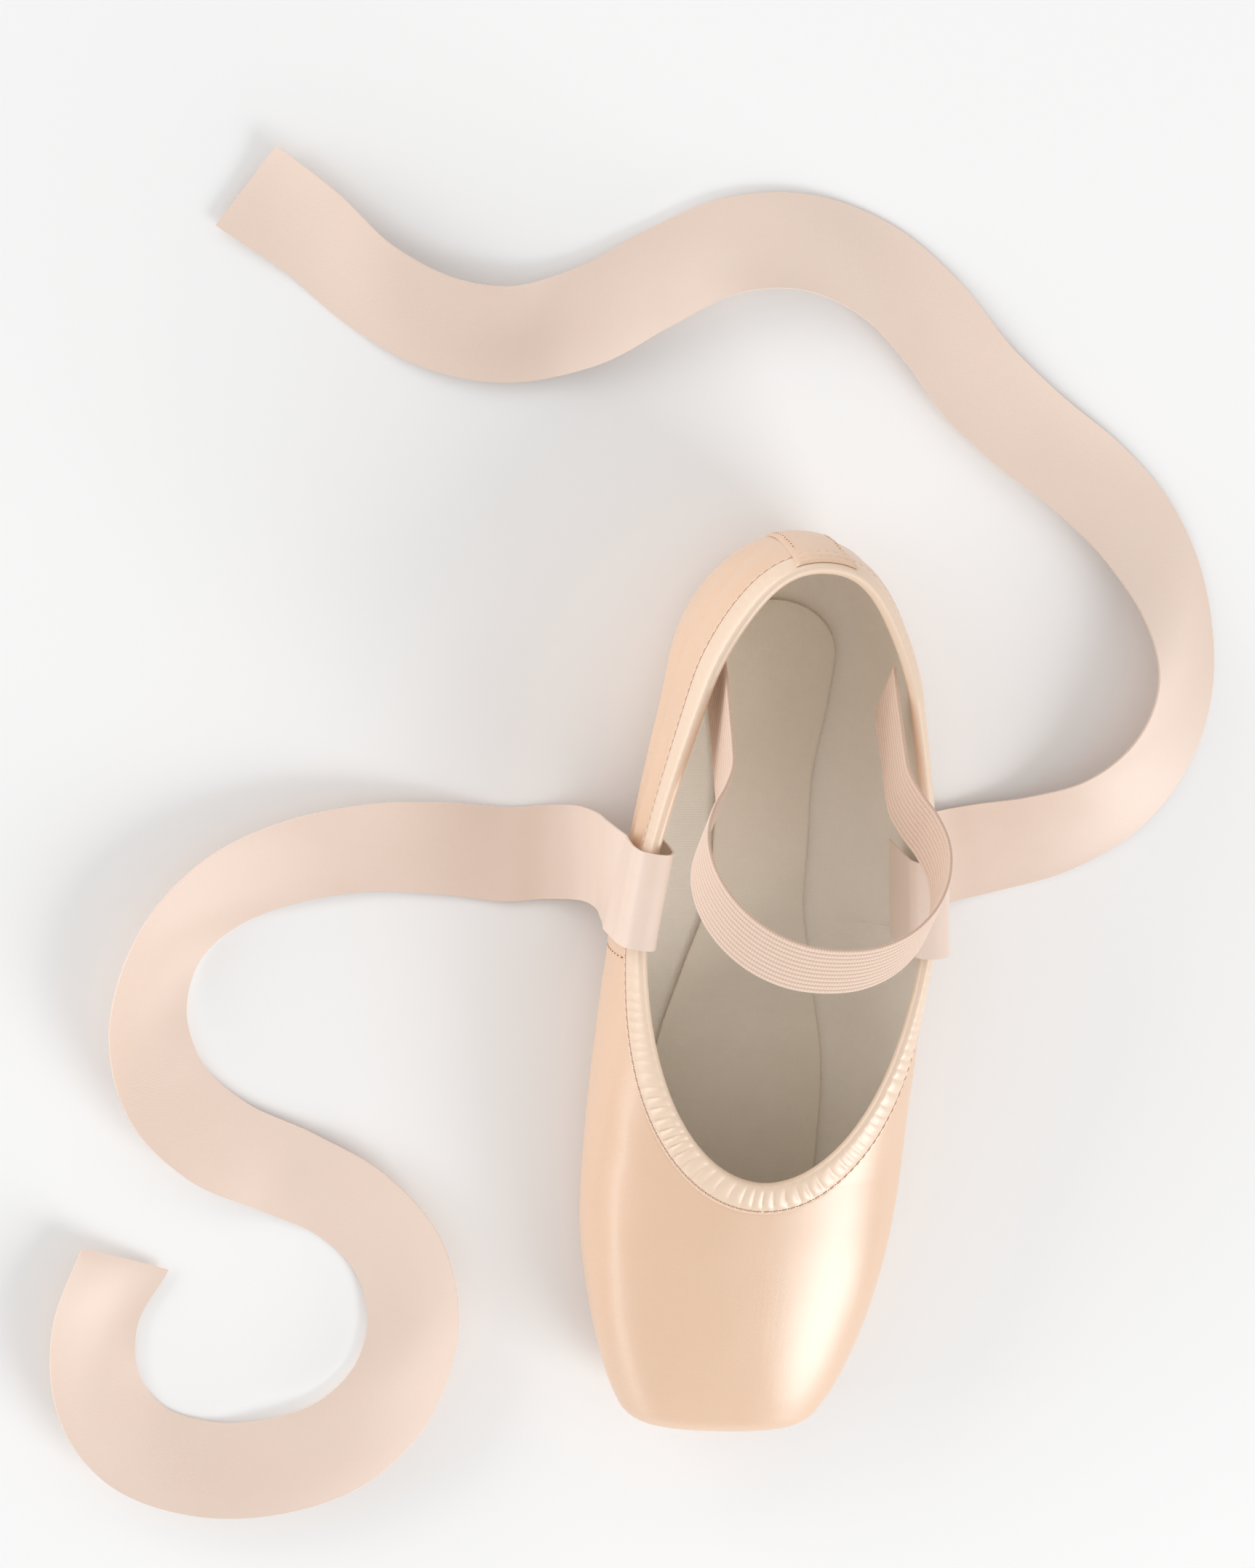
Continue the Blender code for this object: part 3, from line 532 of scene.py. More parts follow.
# %% Sizes of the last
LENGTH = 0.230
BALL_WIDTH = 0.080
INSTEP_HEIGHT = 0.047
HEEL_HEIGHT = 0.0545
WALL = 0.0020
GAP = 0.0003
TAPE_GAP = 0.0005
MIDDLE = LENGTH / 2 + 0.0007
OUTSOLE_THICKNESS = 0.0025
BALL_FLAT_FRONT, BALL_FLAT_BACK, HEEL_FLAT_FRONT = 0.045, 0.100, 0.183
ARCH_RISE = 0.0050
TOE_SPRING = 0.0022
HOLE_FRONT, HOLE_FRONT_ROUND, HOLE_MARGIN = 0.037, 0.012, 0.0065
THROAT = 0.0708
THROAT_EASE, THROAT_TURN = 0.010, 0.17
COLLAR_WIDEST, COLLAR_HALF, COLLAR_HEEL_HALF, COLLAR_NARROWING = 0.140, 0.0365, 0.0260, 1.4
HEEL_START, HEEL_ARC = 0.1955, 0.047
HEEL_END = HEEL_START + HEEL_ARC
HEEL_BULGE, HEEL_BULGE_HEIGHT, HEEL_TOP_BACK = 0.0345, 0.0320, 0.0318
HEEL_FLAT_BACK, HEEL_HOLE_BACK = 0.0175, 0.0025
LOWER_POWER, UPPER_POWER, HEEL_POWER = 2.3, 2.3, 2.05
PLATFORM_RIM = 0.0045
SEAM, SEAM_DROP, SEAM_RAMP, SEAM_RAISE = 0.130, 0.0006, 0.010, 0.0007
SEAM_FULL_ROW, SEAM_END_ROW = 0.63, 0.69
SEAM_SLANT, SEAM_SLANT_REACH = 0.06, 0.025
FLAT_ROW, SIDE_ROW = 0.14, 0.44

SECTION_COLUMNS = ("along", "width", "widest", "top", "flat")
SECTION_SCALES = (LENGTH, BALL_WIDTH / 2, INSTEP_HEIGHT, INSTEP_HEIGHT, BALL_WIDTH / 2)
SECTIONS = (
    (0.00, 0.580, 0.351, 0.638, 0.200),
    (0.05, 0.728, 0.379, 0.753, 0.288),
    (0.10, 0.828, 0.400, 0.836, 0.388),
    (0.15, 0.904, 0.411, 0.898, 0.488),
    (0.20, 0.960, 0.421, 0.945, 0.550),
    (0.25, 0.990, 0.430, 0.979, 0.583),
    (0.30, 1.000, 0.440, 1.000, 0.595),
    (0.35, 1.000, 0.457, 1.008, 0.595),
    (0.40, 0.998, 0.485, 1.004, 0.575),
    (0.50, 0.985, 0.553, 0.991, 0.450),
    (0.60, 0.958, 0.617, 0.989, 0.338),
    (0.70, 0.870, 0.638, 1.013, 0.338),
    (0.80, 0.780, 0.649, 1.055, 0.413),
    (0.85, 0.738, 0.660, 1.080, 0.438),
)

# %% Lines along the last
def monotone(knots, values, at):
    """Cubic through the knots with no overshoot: a knot's slope is the harmonic mean of its two chords."""
    step = np.diff(knots)
    chord = np.diff(values) / step
    slope = np.zeros_like(values)
    steady = chord[1:] * chord[:-1] > 0
    slope[1:-1][steady] = 2 / (1 / chord[1:][steady] + 1 / chord[:-1][steady])
    slope[0], slope[-1] = chord[0], chord[-1]
    k = np.clip(np.searchsorted(knots, at, side="right") - 1, 0, len(step) - 1)
    return cubic(values, slope, step[k], k, (at - knots[k]) / step[k])


def section_column(name, s):
    """One column of the sections at distance s behind the platform."""
    table = np.array(SECTIONS) * SECTION_SCALES
    return monotone(table[:, 0], table[:, SECTION_COLUMNS.index(name)], s)


def sole_line(s):
    """Height of the sole's underside: toe spring, two flats on the floor and the arch between them."""
    toe = TOE_SPRING * (np.clip(BALL_FLAT_FRONT - s, 0, None) / BALL_FLAT_FRONT) ** 2
    across = np.clip((s - BALL_FLAT_BACK) / (HEEL_FLAT_FRONT - BALL_FLAT_BACK), 0, 1)
    return toe + np.where((across > 0) & (across < 1), ARCH_RISE * np.sin(math.pi * across) ** 2, 0.0)


def under_line(s):
    """Height of the upper's underside, a hair above the outsole."""
    return sole_line(s) + OUTSOLE_THICKNESS + GAP


def crown_line(s):
    """Height of the crown and collar, with a parabola that eases the turn of slope at the throat."""
    near = np.clip(1 - np.abs(s - THROAT) / THROAT_EASE, 0, 1)
    return section_column("top", s) + THROAT_TURN * THROAT_EASE / 4 * near**2


def collar_half(s):
    """Half width of the collar: an ellipse back to its widest place, then a power curve to the heel."""
    ahead = np.clip((COLLAR_WIDEST - s) / (COLLAR_WIDEST - THROAT), 0, 1)
    behind = np.clip((s - COLLAR_WIDEST) / (HEEL_START - COLLAR_WIDEST), 0, 1)
    front = COLLAR_HALF * np.sqrt(1 - ahead**2)
    return np.where(s <= THROAT, 0.0, front - (COLLAR_HALF - COLLAR_HEEL_HALF) * behind**COLLAR_NARROWING)


def hole_half(s):
    """Half width of the opening under the upper, round at its front end."""
    ahead = np.clip((HOLE_FRONT + HOLE_FRONT_ROUND - s) / HOLE_FRONT_ROUND, 0, 1)
    return (section_column("flat", s) - HOLE_MARGIN) * np.sqrt(1 - ahead**2)


def seam_slant(s, height):
    """How far the cloth leans back along the side seam: more with height, dying away on both sides."""
    return SEAM_SLANT * bump_at(s - SEAM, SEAM_SLANT_REACH) * (height - under_line(s))


def seam_raise(s, v):
    """Rise of the vamp's folded edge over the quarter: it drops behind the seam, dies under the tape."""
    ramp = np.clip((s - SEAM + SEAM_RAMP) / SEAM_RAMP, 0, 1)
    drop = np.clip((SEAM + SEAM_DROP - s) / SEAM_DROP, 0, 1)
    below = np.clip((SEAM_END_ROW - v) / (SEAM_END_ROW - SEAM_FULL_ROW), 0, 1)
    return SEAM_RAISE * ramp * drop * below


# %% [markdown]
# ## The wall of the upper
# One section is a flat bottom, a lower quarter of a superellipse up to the widest place, and an upper arc
# that stops at the collar. Behind the heel's start the sections swing round like a fan to the centre back.
# The whole outer face is then one function: w goes back along the shoe and round the heel, v goes from the
# sole at 0 to the crown or the collar at 1.

# %% Wall of the upper
def quarter(v, hole, flat, half, widest, bottom, top, opening, lower_power):
    """Distance out and height of one section, by row: bottom, lower superellipse, upper superellipse."""
    out = np.clip(v / FLAT_ROW, 0, 1)
    low = np.clip((v - FLAT_ROW) / (SIDE_ROW - FLAT_ROW), 0, 1) * math.pi / 2
    end = np.arccos((opening / half) ** (UPPER_POWER / 2))
    high = np.clip((v - SIDE_ROW) / (1 - SIDE_ROW), 0, 1) * end
    reach = (top - widest) / np.sin(end) ** (2 / UPPER_POWER)
    low_x = flat + (half - flat) * np.sin(low) ** (2 / lower_power)
    low_z = widest - (widest - bottom) * np.abs(np.cos(low)) ** (2 / lower_power)
    high_x = half * np.abs(np.cos(high)) ** (2 / UPPER_POWER)
    high_z = widest + reach * np.sin(high) ** (2 / UPPER_POWER)
    x = np.where(v <= FLAT_ROW, hole + (flat - hole) * out, np.where(v <= SIDE_ROW, low_x, high_x))
    return x, np.where(v <= FLAT_ROW, bottom, np.where(v <= SIDE_ROW, low_z, high_z))


def straight_section(s, v):
    """Half width and height of the wall on a plane across the shoe at distance s."""
    half = section_column("width", s)
    sizes = (section_column("flat", s), half, section_column("widest", s), under_line(s), crown_line(s))
    x, z = quarter(v, hole_half(s), *sizes, np.minimum(collar_half(s), half), LOWER_POWER)
    return x + seam_raise(s, v) * np.clip((v - FLAT_ROW) / (SIDE_ROW - FLAT_ROW), 0, 1), z


def heel_section(v):
    """Distance behind the heel's start and height of the wall down the centre back."""
    out = (HEEL_HOLE_BACK, HEEL_FLAT_BACK, HEEL_BULGE)
    heights = (HEEL_BULGE_HEIGHT, under_line(HEEL_START), HEEL_HEIGHT)
    return quarter(v, *out, *heights, HEEL_TOP_BACK, HEEL_POWER)


def wall(w, v):
    """Point of the upper's outer face at w behind the platform and round the heel, and at row v."""
    w, v = np.broadcast_arrays(np.asarray(w, dtype=float), np.asarray(v, dtype=float))
    s = np.minimum(w, HEEL_START)
    x, z = straight_section(s, v)
    before, _ = straight_section(s - PLATFORM_RIM, v)
    back, back_z = heel_section(v)
    turn = np.clip((w - HEEL_START) / HEEL_ARC, 0, 1) * math.pi / 2
    taper = np.clip((before - x) / PLATFORM_RIM * back / np.maximum(x, PLATFORM_RIM), 0, 0.5)
    round_x = x * np.cos(turn) * (1 - taper * np.sin(turn) * np.cos(turn))
    round_z = z + (back_z - z) * np.sin(turn) ** 2
    y = s + back * np.sin(turn) + seam_slant(s, round_z) - MIDDLE
    return paired(np.where(turn >= math.pi / 2, 0.0, round_x), y, round_z)


def wall_normal(w, v):
    """Outward unit normal of the wall, from small steps along it and up it."""
    small = 1e-4
    along = wall(np.asarray(w) + small, v) - wall(np.asarray(w) - small, v)
    upward = wall(w, np.minimum(v + small, 1)) - wall(w, np.maximum(v - small, 0))
    return unit(np.cross(along, upward))


print("ball", wall(0.075, SIDE_ROW).round(4), "heel", wall(HEEL_END, SIDE_ROW).round(4))

# %% [markdown]
# ## Creases, pleats and pull marks
# Satin over a stiff box is smooth but never perfect. A crease is a soft trough with a low ridge on each
# side, laid along a short line that is given in the shoe's own millimetres: how far behind the
# platform it starts and ends, and how far below the collar or the crown. Under the toe the cloth is
# gathered in pleats that fan out from the sole's front tip and die on the platform. All of it could be
# sculpted by hand, but a line with numbers can be moved by a millimetre and comes out the same each time.

# %% Creases and pleats
CREASES = (
    # side, start along, start from the middle line, end along, end from it, width, depth, in millimetres
    (-1, 136, 49, 188, 42, 2.6, 0.95),
    (-1, 150, 57, 208, 46, 3.4, 0.85),
    (-1, 134, 62, 164, 68, 3.4, 0.50),
    (1, 138, 50, 186, 43, 2.8, 0.80),
    (1, 156, 58, 208, 46, 3.6, 0.80),
    (-1, 196, 38, 224, 45, 3.2, 0.60),
    (-1, 206, 52, 230, 48, 3.2, 0.45),
    (1, 194, 39, 226, 44, 3.2, 0.60),
    (1, 204, 53, 231, 47, 3.0, 0.45),
    (-1, 40, 42, 96, 55, 7.5, 0.25),
    (1, 36, 44, 90, 54, 7.5, 0.25),
)
PULLS = (
    # side, place along, depth: short marks where the cloth is drawn under the sole's edge at the waist
    (-1, 106, 0.35), (-1, 118, 0.50), (-1, 139, 0.60), (-1, 147, 0.50), (-1, 158, 0.60), (-1, 171, 0.45),
    (1, 109, 0.40), (1, 121, 0.45), (1, 138, 0.55), (1, 149, 0.55), (1, 161, 0.50), (1, 174, 0.50),
)
PLEAT_ANGLES = (-100, -74, -50, -27, -6, 15, 38, 62, 88)
PLEAT_TIP = (0.0, 0.031 - MIDDLE)
PLEAT_DEPTH = 0.0009
WAVE_DEPTH = 0.00012
PULL_WIDTH = 0.0022
ROW_WIDTH, ROW_DEPTH = 0.0006, 0.00022
STITCH_ROWS_BACK = (0.0022, 0.0062)


def crease(along, reach, row):
    """Trough and ridges about a line: depth times the bell of the distance, less two bells beside it."""
    _, start, start_reach, end, end_reach, width, depth = np.array(row) * 0.001
    line = np.array([end - start, end_reach - start_reach])
    length = np.hypot(*line)
    share = ((along - start) * line[0] + (reach - start_reach) * line[1]) / length**2
    wander = 0.25 * width * np.sin(share * 7 + start * 900)
    off = ((reach - start_reach) * line[0] - (along - start) * line[1]) / length + wander
    fade = smooth(share / 0.25 + 0.5) * smooth((1 - share) / 0.25 + 0.5)
    return depth * fade * (0.45 * bump_at(np.abs(off) - 1.7 * width, width) - bump_at(off, width))


def pleats(side, points, v):
    """Sharp folds fanned round the sole's front tip: a steep trough beside a low ridge, for each angle."""
    out = points[..., :2] * (side, 1) - PLEAT_TIP
    reach = np.hypot(out[..., 0], out[..., 1])
    angle = np.degrees(np.arctan2(out[..., 0], -out[..., 1]))
    fade = smooth(reach / 0.006) * (1 - smooth((reach - 0.020) / 0.022)) * (1 - smooth((v - 0.20) / 0.22))
    total = np.zeros(reach.shape)
    for k, place in enumerate(PLEAT_ANGLES):
        bent = angle - place - 4 * np.sin(reach / 0.006 + k)
        fold = 0.55 * bump_at(bent - 8, 6.5) - bump_at(bent, 4.2)
        total += fold * (0.75 + 0.25 * math.sin(2.4 * k))
    return PLEAT_DEPTH * fade * total


def from_collar(points):
    """Distance of each point from the nearest of many places on the collar's edge."""
    front = THROAT + 0.04 * np.linspace(0, 1, 80) ** 2
    edge = wall(np.concatenate([front, np.linspace(0.112, HEEL_END, 90)]), 1.0)
    return np.sqrt(sum((points[..., None, k] - edge[:, k]) ** 2 for k in range(3)).min(axis=-1))


def hand_relief(side, w, v, below, free, points):
    """Everything that lifts or sinks the satin, in metres along its normal."""
    reach = collar_half(np.minimum(w, HEEL_START)) + below
    lift = pleats(side, points, v)
    for row in CREASES:
        if row[0] == side:
            lift = lift + crease(w, reach, row)
    for _, place, depth in (row for row in PULLS if row[0] == side):
        mark = bump_at(w - place * 0.001 - 0.06 * (v - FLAT_ROW), PULL_WIDTH)
        lift = lift - depth * 0.001 * mark * smooth((0.42 - v) / 0.2) * smooth((v - 0.10) / 0.06)
    wave = np.sin(w / 0.0071 + 5 * np.cos(side * reach / 0.031)) * np.sin(side * reach / 0.0083 + w / 0.013)
    lift = lift + WAVE_DEPTH * wave * smooth((w - 0.02) / 0.05) * smooth((free - 0.008) / 0.012)
    rows = sum(bump_at(w - SEAM + back, ROW_WIDTH) for back in STITCH_ROWS_BACK)
    lift = lift - ROW_DEPTH * rows * smooth((v - FLAT_ROW) / 0.04)
    return lift * smooth((free - 0.002) / 0.005)

# %% [markdown]
# ## The upper
# The outer face is one fine grid for each side, laid with the wall's own function: flat platform, rounded
# rim, then back to the heel. The creases push it in or out along its normal. A second grid, one wall's
# thickness further in, is the cotton lining. The wall gets thinner where the binding folds over it, and
# narrow rims join the two grids. Both halves are merged where they meet on the middle line. Under the toe
# and behind the heel tape a hairline stays open. A coarse cage under a Subdivision Surface would be
# quicker to draw, but wouldn't land exactly on the solids.

# %% Upper
EDGE_WALL = 0.0012
EDGE_FADE = 0.010
RIM_DEGREES = 81


def upper_stations():
    """Places along the shoe, closer together where the shape turns fast: sole tip, throat and seam."""
    fast = np.linspace(0, 1, 9) ** 2
    seam = np.array([-8, -7.2, -6.8, -6.2, -5.6, -4.6, -3.4, -2.8, -2.2, -1.6, -0.7, 0, 0.2, 0.4, 0.6, 1.2])
    places = [HOLE_FRONT + HOLE_FRONT_ROUND * fast, THROAT + 0.008 * fast, SEAM + seam * 0.001]
    close = np.concatenate(places)
    even = np.linspace(PLATFORM_RIM, HEEL_START, 176)
    even = even[np.abs(even[:, None] - close).min(axis=1) > 0.0002]
    round_heel = HEEL_START + HEEL_ARC * np.arange(1, 45) / 44
    return np.concatenate([np.sort(np.concatenate([even, close])), round_heel])


def toe_grid(v):
    """Rings of the flat platform, then of its rounded rim, with the outward direction of each."""
    crown = section_column("top", 0.0)
    middle = np.array([0.0, 0.0, (crown + under_line(0.0)) / 2])
    half = np.array([section_column("width", 0.0), 1.0, crown - middle[2]])
    share = np.concatenate([np.linspace(0, 1, 12)[:-1], np.ones(10)])[:, None, None]
    turn = np.concatenate([np.zeros(11), np.radians(np.linspace(0, RIM_DEGREES, 10))])[:, None]
    ring = wall(PLATFORM_RIM * (1 - np.cos(turn)), v)
    flat = middle + (ring - middle) * (1 - PLATFORM_RIM * (1 - np.sin(turn))[..., None] / half) * share
    flat[..., 1] = np.where(share[..., 0] < 1, -MIDDLE, ring[..., 1])
    side = wall_normal(np.full_like(turn, PLATFORM_RIM), v)
    rim = PLATFORM_RIM * (1 - np.pi / 2 + turn[11:, 0])
    out = unit(np.array([0, -1, 0]) * np.cos(turn)[..., None] + side * np.sin(turn)[..., None])
    return flat, out, np.concatenate([-0.0026 - np.linspace(0.020, 0.002, 11), rim])


def upper_side(side, w, v):
    """Outer grid, inner grid and the two rims of one side, with their chart."""
    toe, toe_out, toe_run = toe_grid(v)
    points = np.concatenate([toe, wall(w[:, None], v)])
    out = np.concatenate([toe_out, wall_normal(w[:, None], v)])
    level = np.abs(points[..., 0]) < 1e-7
    out = unit(np.where(level[..., None], out * (0, 1, 1), out))
    step = np.linalg.norm(np.diff(points, axis=1), axis=-1)
    below = np.concatenate([np.cumsum(step[:, ::-1], axis=1)[:, ::-1], np.zeros((len(points), 1))], axis=1)
    run = np.concatenate([toe_run, w])[:, None]
    place = np.maximum(run, 0)
    free = from_collar(points)
    thick = EDGE_WALL + (WALL - EDGE_WALL) * smooth(free / EDGE_FADE)
    outer = points + out * hand_relief(side, place, v, below, free, points)[..., None]
    inner = points - out * thick[..., None]
    outer[level, 0] = 0
    inner[level, 0] = 0
    outer, inner = outer * (side, 1, 1), inner * (side, 1, 1)
    across = side * (collar_half(np.minimum(place, HEEL_START)) + below)
    chart = paired(run, across)
    grids = [(outer, chart, 0), (inner, chart, 1)]
    for column, first in ((-1, THROAT), (0, HOLE_FRONT)):
        rows = run[:, 0] > first - 1e-7
        rim = np.stack([outer[rows, column], inner[rows, column]], axis=1)
        grids.append((rim, chart[rows][:, [column, column]], 1))
    return grids


def upper():
    """Both sides of the shell, merged where they meet on the middle line: satin outside, cotton inside."""
    v = np.concatenate([
        np.linspace(0, FLAT_ROW, 13, endpoint=False),
        np.linspace(FLAT_ROW, SIDE_ROW, 27, endpoint=False),
        np.linspace(SIDE_ROW, 1, 40),
    ])
    w = upper_stations()
    grids = upper_side(1, w, v) + upper_side(-1, w, v)
    return seat(surface("satin_upper", grids, [SHOE_SATIN, LINING]), "satin", "upper")


upper()

# %% [markdown]
# ## Lying on the wall
# Tapes and stitches have to lie on the satin, so they need the nearest point of the wall for any point in
# space. Newton steps slide a first guess until the way to the wall is square to it. On the sides the guess
# comes from a coarse net. Round the throat the wall is read as a height over the floor, because there the
# tape also crosses the middle line. A Shrinkwrap modifier does this for a mesh that is there already; here
# the nearest points are needed first, and all of them are worked out at once.

# %% Nearest point of the wall
FRONT_OF_COLLAR = 0.105


def crown(s, x):
    """Upper part of the wall as a height over the place (s, x): the same superellipse, solved for height."""
    half = section_column("width", s)
    opening = np.minimum(collar_half(s), half)
    widest, top = section_column("widest", s), crown_line(s)
    share = (1 - np.minimum(np.abs(x) / half, 1) ** UPPER_POWER) / (1 - (opening / half) ** UPPER_POWER)
    z = widest + (top - widest) * np.maximum(share, 1e-4) ** (1 / UPPER_POWER)
    return paired(x, s + seam_slant(s, z) - MIDDLE, z)


def settle(face, points, a, b, low, high):
    """Nearest point on a face and the normal there: Newton steps until the way to it is square."""
    small = 1e-5
    for _ in range(9):
        here = face(a, b)
        along = (face(a + small, b) - face(a - small, b)) / (2 * small)
        up = (here - face(a, b - small)) / small
        gap = points - here
        aa, ab, bb = (along * along).sum(-1), (along * up).sum(-1), (up * up).sum(-1)
        p, q = (along * gap).sum(-1), (up * gap).sum(-1)
        spread = np.maximum(aa * bb - ab * ab, 1e-12)
        stride = 0.003
        a = np.clip(a + np.clip((bb * p - ab * q) / spread, -stride, stride), low[0], high[0])
        b = np.clip(b + np.clip((aa * q - ab * p) / spread, -10 * stride, 10 * stride), low[1], high[1])
    return face(a, b), unit(np.cross(along, up))


def first_guess(points, w, v, axes=(0, 1, 2)):
    """Place w and row v of the net point nearest each point, as seen along the axes left out."""
    w, v = (part.ravel() for part in np.meshgrid(w, v))
    net, target = wall(w, v)[:, axes], points[..., axes].reshape(-1, len(axes))
    parts = np.array_split(target, 1 + target.size // 12000)
    nearest = np.concatenate([((net**2).sum(axis=1) - 2 * part @ net.T).argmin(axis=1) for part in parts])
    return w[nearest].reshape(points.shape[:-1]), v[nearest].reshape(points.shape[:-1])


def beside(points):
    """Nearest points and normals on the sides and the heel, from the first guess of a coarse net."""
    w, v = first_guess(points, np.linspace(0.08, HEEL_END, 110), np.linspace(0.5, 1, 22))
    return settle(wall, points, w, v, (THROAT + 2e-5, 0.3), (HEEL_END, 1))


def ahead(points):
    """Nearest points and normals round the throat, where the wall is read as a height."""
    s = points[..., 1] + MIDDLE
    x = np.minimum(np.abs(points[..., 0]), 0.9 * section_column("width", s))
    landing, normal = settle(crown, points, s, x, (0.02, 0.0), (0.125, 0.038))
    return landing, normal * np.where(normal[..., 2:] < 0, -1.0, 1.0)


def collar_frame(w):
    """Collar edge, its outward normal, and the direction along the cloth away from the opening."""
    edge = wall(w, 1.0)
    small = 1e-5
    tangent = wall(w + small, 1.0) - wall(w - small, 1.0)
    tangent[w <= THROAT] = (1, 0, 0)
    last = w >= HEEL_END - 1e-7
    tangent[last] = (-1, 0, 0)
    front = w < FRONT_OF_COLLAR
    normal = wall_normal(w, 1.0)
    normal[front] = ahead(edge[front])[1]
    normal[last | (w <= THROAT), 0] = 0
    normal = unit(normal)
    return edge, normal, unit(np.cross(tangent, normal))


def collar_places(count):
    """Places round half the collar at equal distances along its edge, and those distances."""
    front = THROAT + (COLLAR_WIDEST - THROAT) * np.linspace(0, 1, 3000) ** 2
    fine = np.concatenate([front, np.linspace(COLLAR_WIDEST, HEEL_END, 3000)[1:]])
    run = distances(wall(fine, 1.0))
    even = np.linspace(0, run[-1], count)
    w = np.interp(even, run, fine)
    w[0], w[-1] = THROAT, HEEL_END
    return w, even


def collar_points(w, offset, depth):
    """Point at an offset from the wall and a depth below the collar's edge; a negative depth is above."""
    edge, normal, away = (part[:, None] for part in collar_frame(w))
    spot = edge + away * np.maximum(depth, 0)[..., None]
    landing, level = np.empty_like(spot), np.empty_like(spot)
    front = w < FRONT_OF_COLLAR
    landing[front], level[front] = ahead(spot[front])
    landing[~front], level[~front] = beside(spot[~front])
    laid = spot - level * ((spot - landing) * level).sum(axis=-1, keepdims=True)
    out = level + (normal - level) * (1 - smooth(depth / 0.003))[..., None]
    out[np.abs(edge[..., 0] + 0 * depth) < 1e-7, 0] = 0
    out = unit(out)
    return laid + away * np.minimum(depth, 0)[..., None] + out * offset[..., None], out

# %% [markdown]
# ## The binding
# The collar is bound with a strip of the same satin, folded over the edge and sewn down with one row. Its
# section is a plump U. Round the front of the throat the strip has to turn a tight curve, so it gathers
# into small puckers that run from the seam up to the fold. Along the straight sides it lies smooth. A
# curve with a bevel could carry the same section, but not the puckers, so the section is carried as a grid.

# %% Binding
TAPE_SECTION = (
    # offset from the wall and depth below the edge, in millimetres: outer flap, fold, inner flap, back
    (0.12, 6.95), (0.36, 7.00), (0.52, 6.75), (0.46, 6.35), (0.40, 6.05), (0.56, 5.7), (0.80, 5.1),
    (1.00, 4.2), (1.10, 3.1), (1.10, 1.9), (1.00, 0.8), (0.86, 0.0), (0.55, -0.70), (0.00, -1.05),
    (-0.60, -1.15), (-1.20, -1.00), (-1.70, -0.60), (-2.00, 0.1), (-2.12, 1.2), (-2.25, 2.8),
    (-2.35, 4.2), (-2.35, 5.4), (-2.15, 5.85), (-1.95, 5.5), (-1.75, 3.0), (-1.50, 0.9),
    (-1.25, 0.1), (-0.70, -0.25), (-0.05, -0.15), (0.10, 0.6), (0.10, 3.5),
)
SECTION_STEPS = 48
STITCH_DEPTH = 0.0061
PUCKER_PITCH = 0.0027
PUCKER_WEAK, PUCKER_STRONG = 0.00008, 0.00046
PUCKER_REACH, PUCKER_EASE = 0.080, 0.045


def tape_section():
    """Offsets, depths and running length of the tape's closed section, smoothed through the table."""
    table = np.array(TAPE_SECTION) * 0.001
    ring = np.concatenate([table[-3:], table, table[:4]])
    fine = smooth_line(ring, 8)[3 * 8:(3 + len(table)) * 8 + 1]
    run = distances(fine)
    even = np.linspace(0, run[-1], SECTION_STEPS)
    offset, depth = (np.interp(even, run, fine[:, k]) for k in (0, 1))
    offset[-1], depth[-1] = offset[0], depth[0]
    return offset, depth, even


def pucker(run, offset, depth):
    """Gathers 2.7 mm apart: strong round the throat, most of all on its left, weak along the sides."""
    place = run + 0.0007 * np.sin(run / 0.0043) + 0.0003 * np.sin(run / 0.0019 + 1)
    wave = np.abs(np.sin(math.pi * place / PUCKER_PITCH + 0.3 * np.sin(depth / 0.0015)))
    ridge = wave**0.7 - 0.6
    tight = smooth((PUCKER_REACH - np.abs(run)) / PUCKER_EASE) * (0.7 + 0.3 * np.sin(run / 0.006))
    strength = (PUCKER_WEAK + PUCKER_STRONG * tight) * (1.25 - 0.25 * np.tanh(run / 0.02))
    ends = smooth((np.abs(run).max() - np.abs(run)) / 0.012)
    visible = smooth((offset - 0.0002) / 0.0006) * smooth((STITCH_DEPTH - depth) / 0.0015)
    return ridge * strength * ends * visible * (0.45 + 0.55 * smooth((depth + 0.001) / 0.004))


def binding_side(side, w, run, section):
    """Half of the tape on one side of the middle line, with its chart."""
    offset, depth, around = section
    offset = offset + pucker(side * run[:, None], offset, depth)
    points, _ = collar_points(w, offset, np.broadcast_to(depth, offset.shape))
    points[[0, -1], :, 0] = 0
    return points * (side, 1, 1), paired(side * run[:, None], around)


def binding():
    """Satin tape over the whole collar, from two halves that meet at the throat and at the heel."""
    w, run = collar_places(560)
    halves = [binding_side(side, w, run, tape_section()) for side in (1, -1)]
    piece = surface("collar_binding", halves, [TAPE_SATIN])
    print("half the collar is", round(float(run[-1]), 4), "m round")
    return seat(piece, "binding_tape", "binding")


binding()
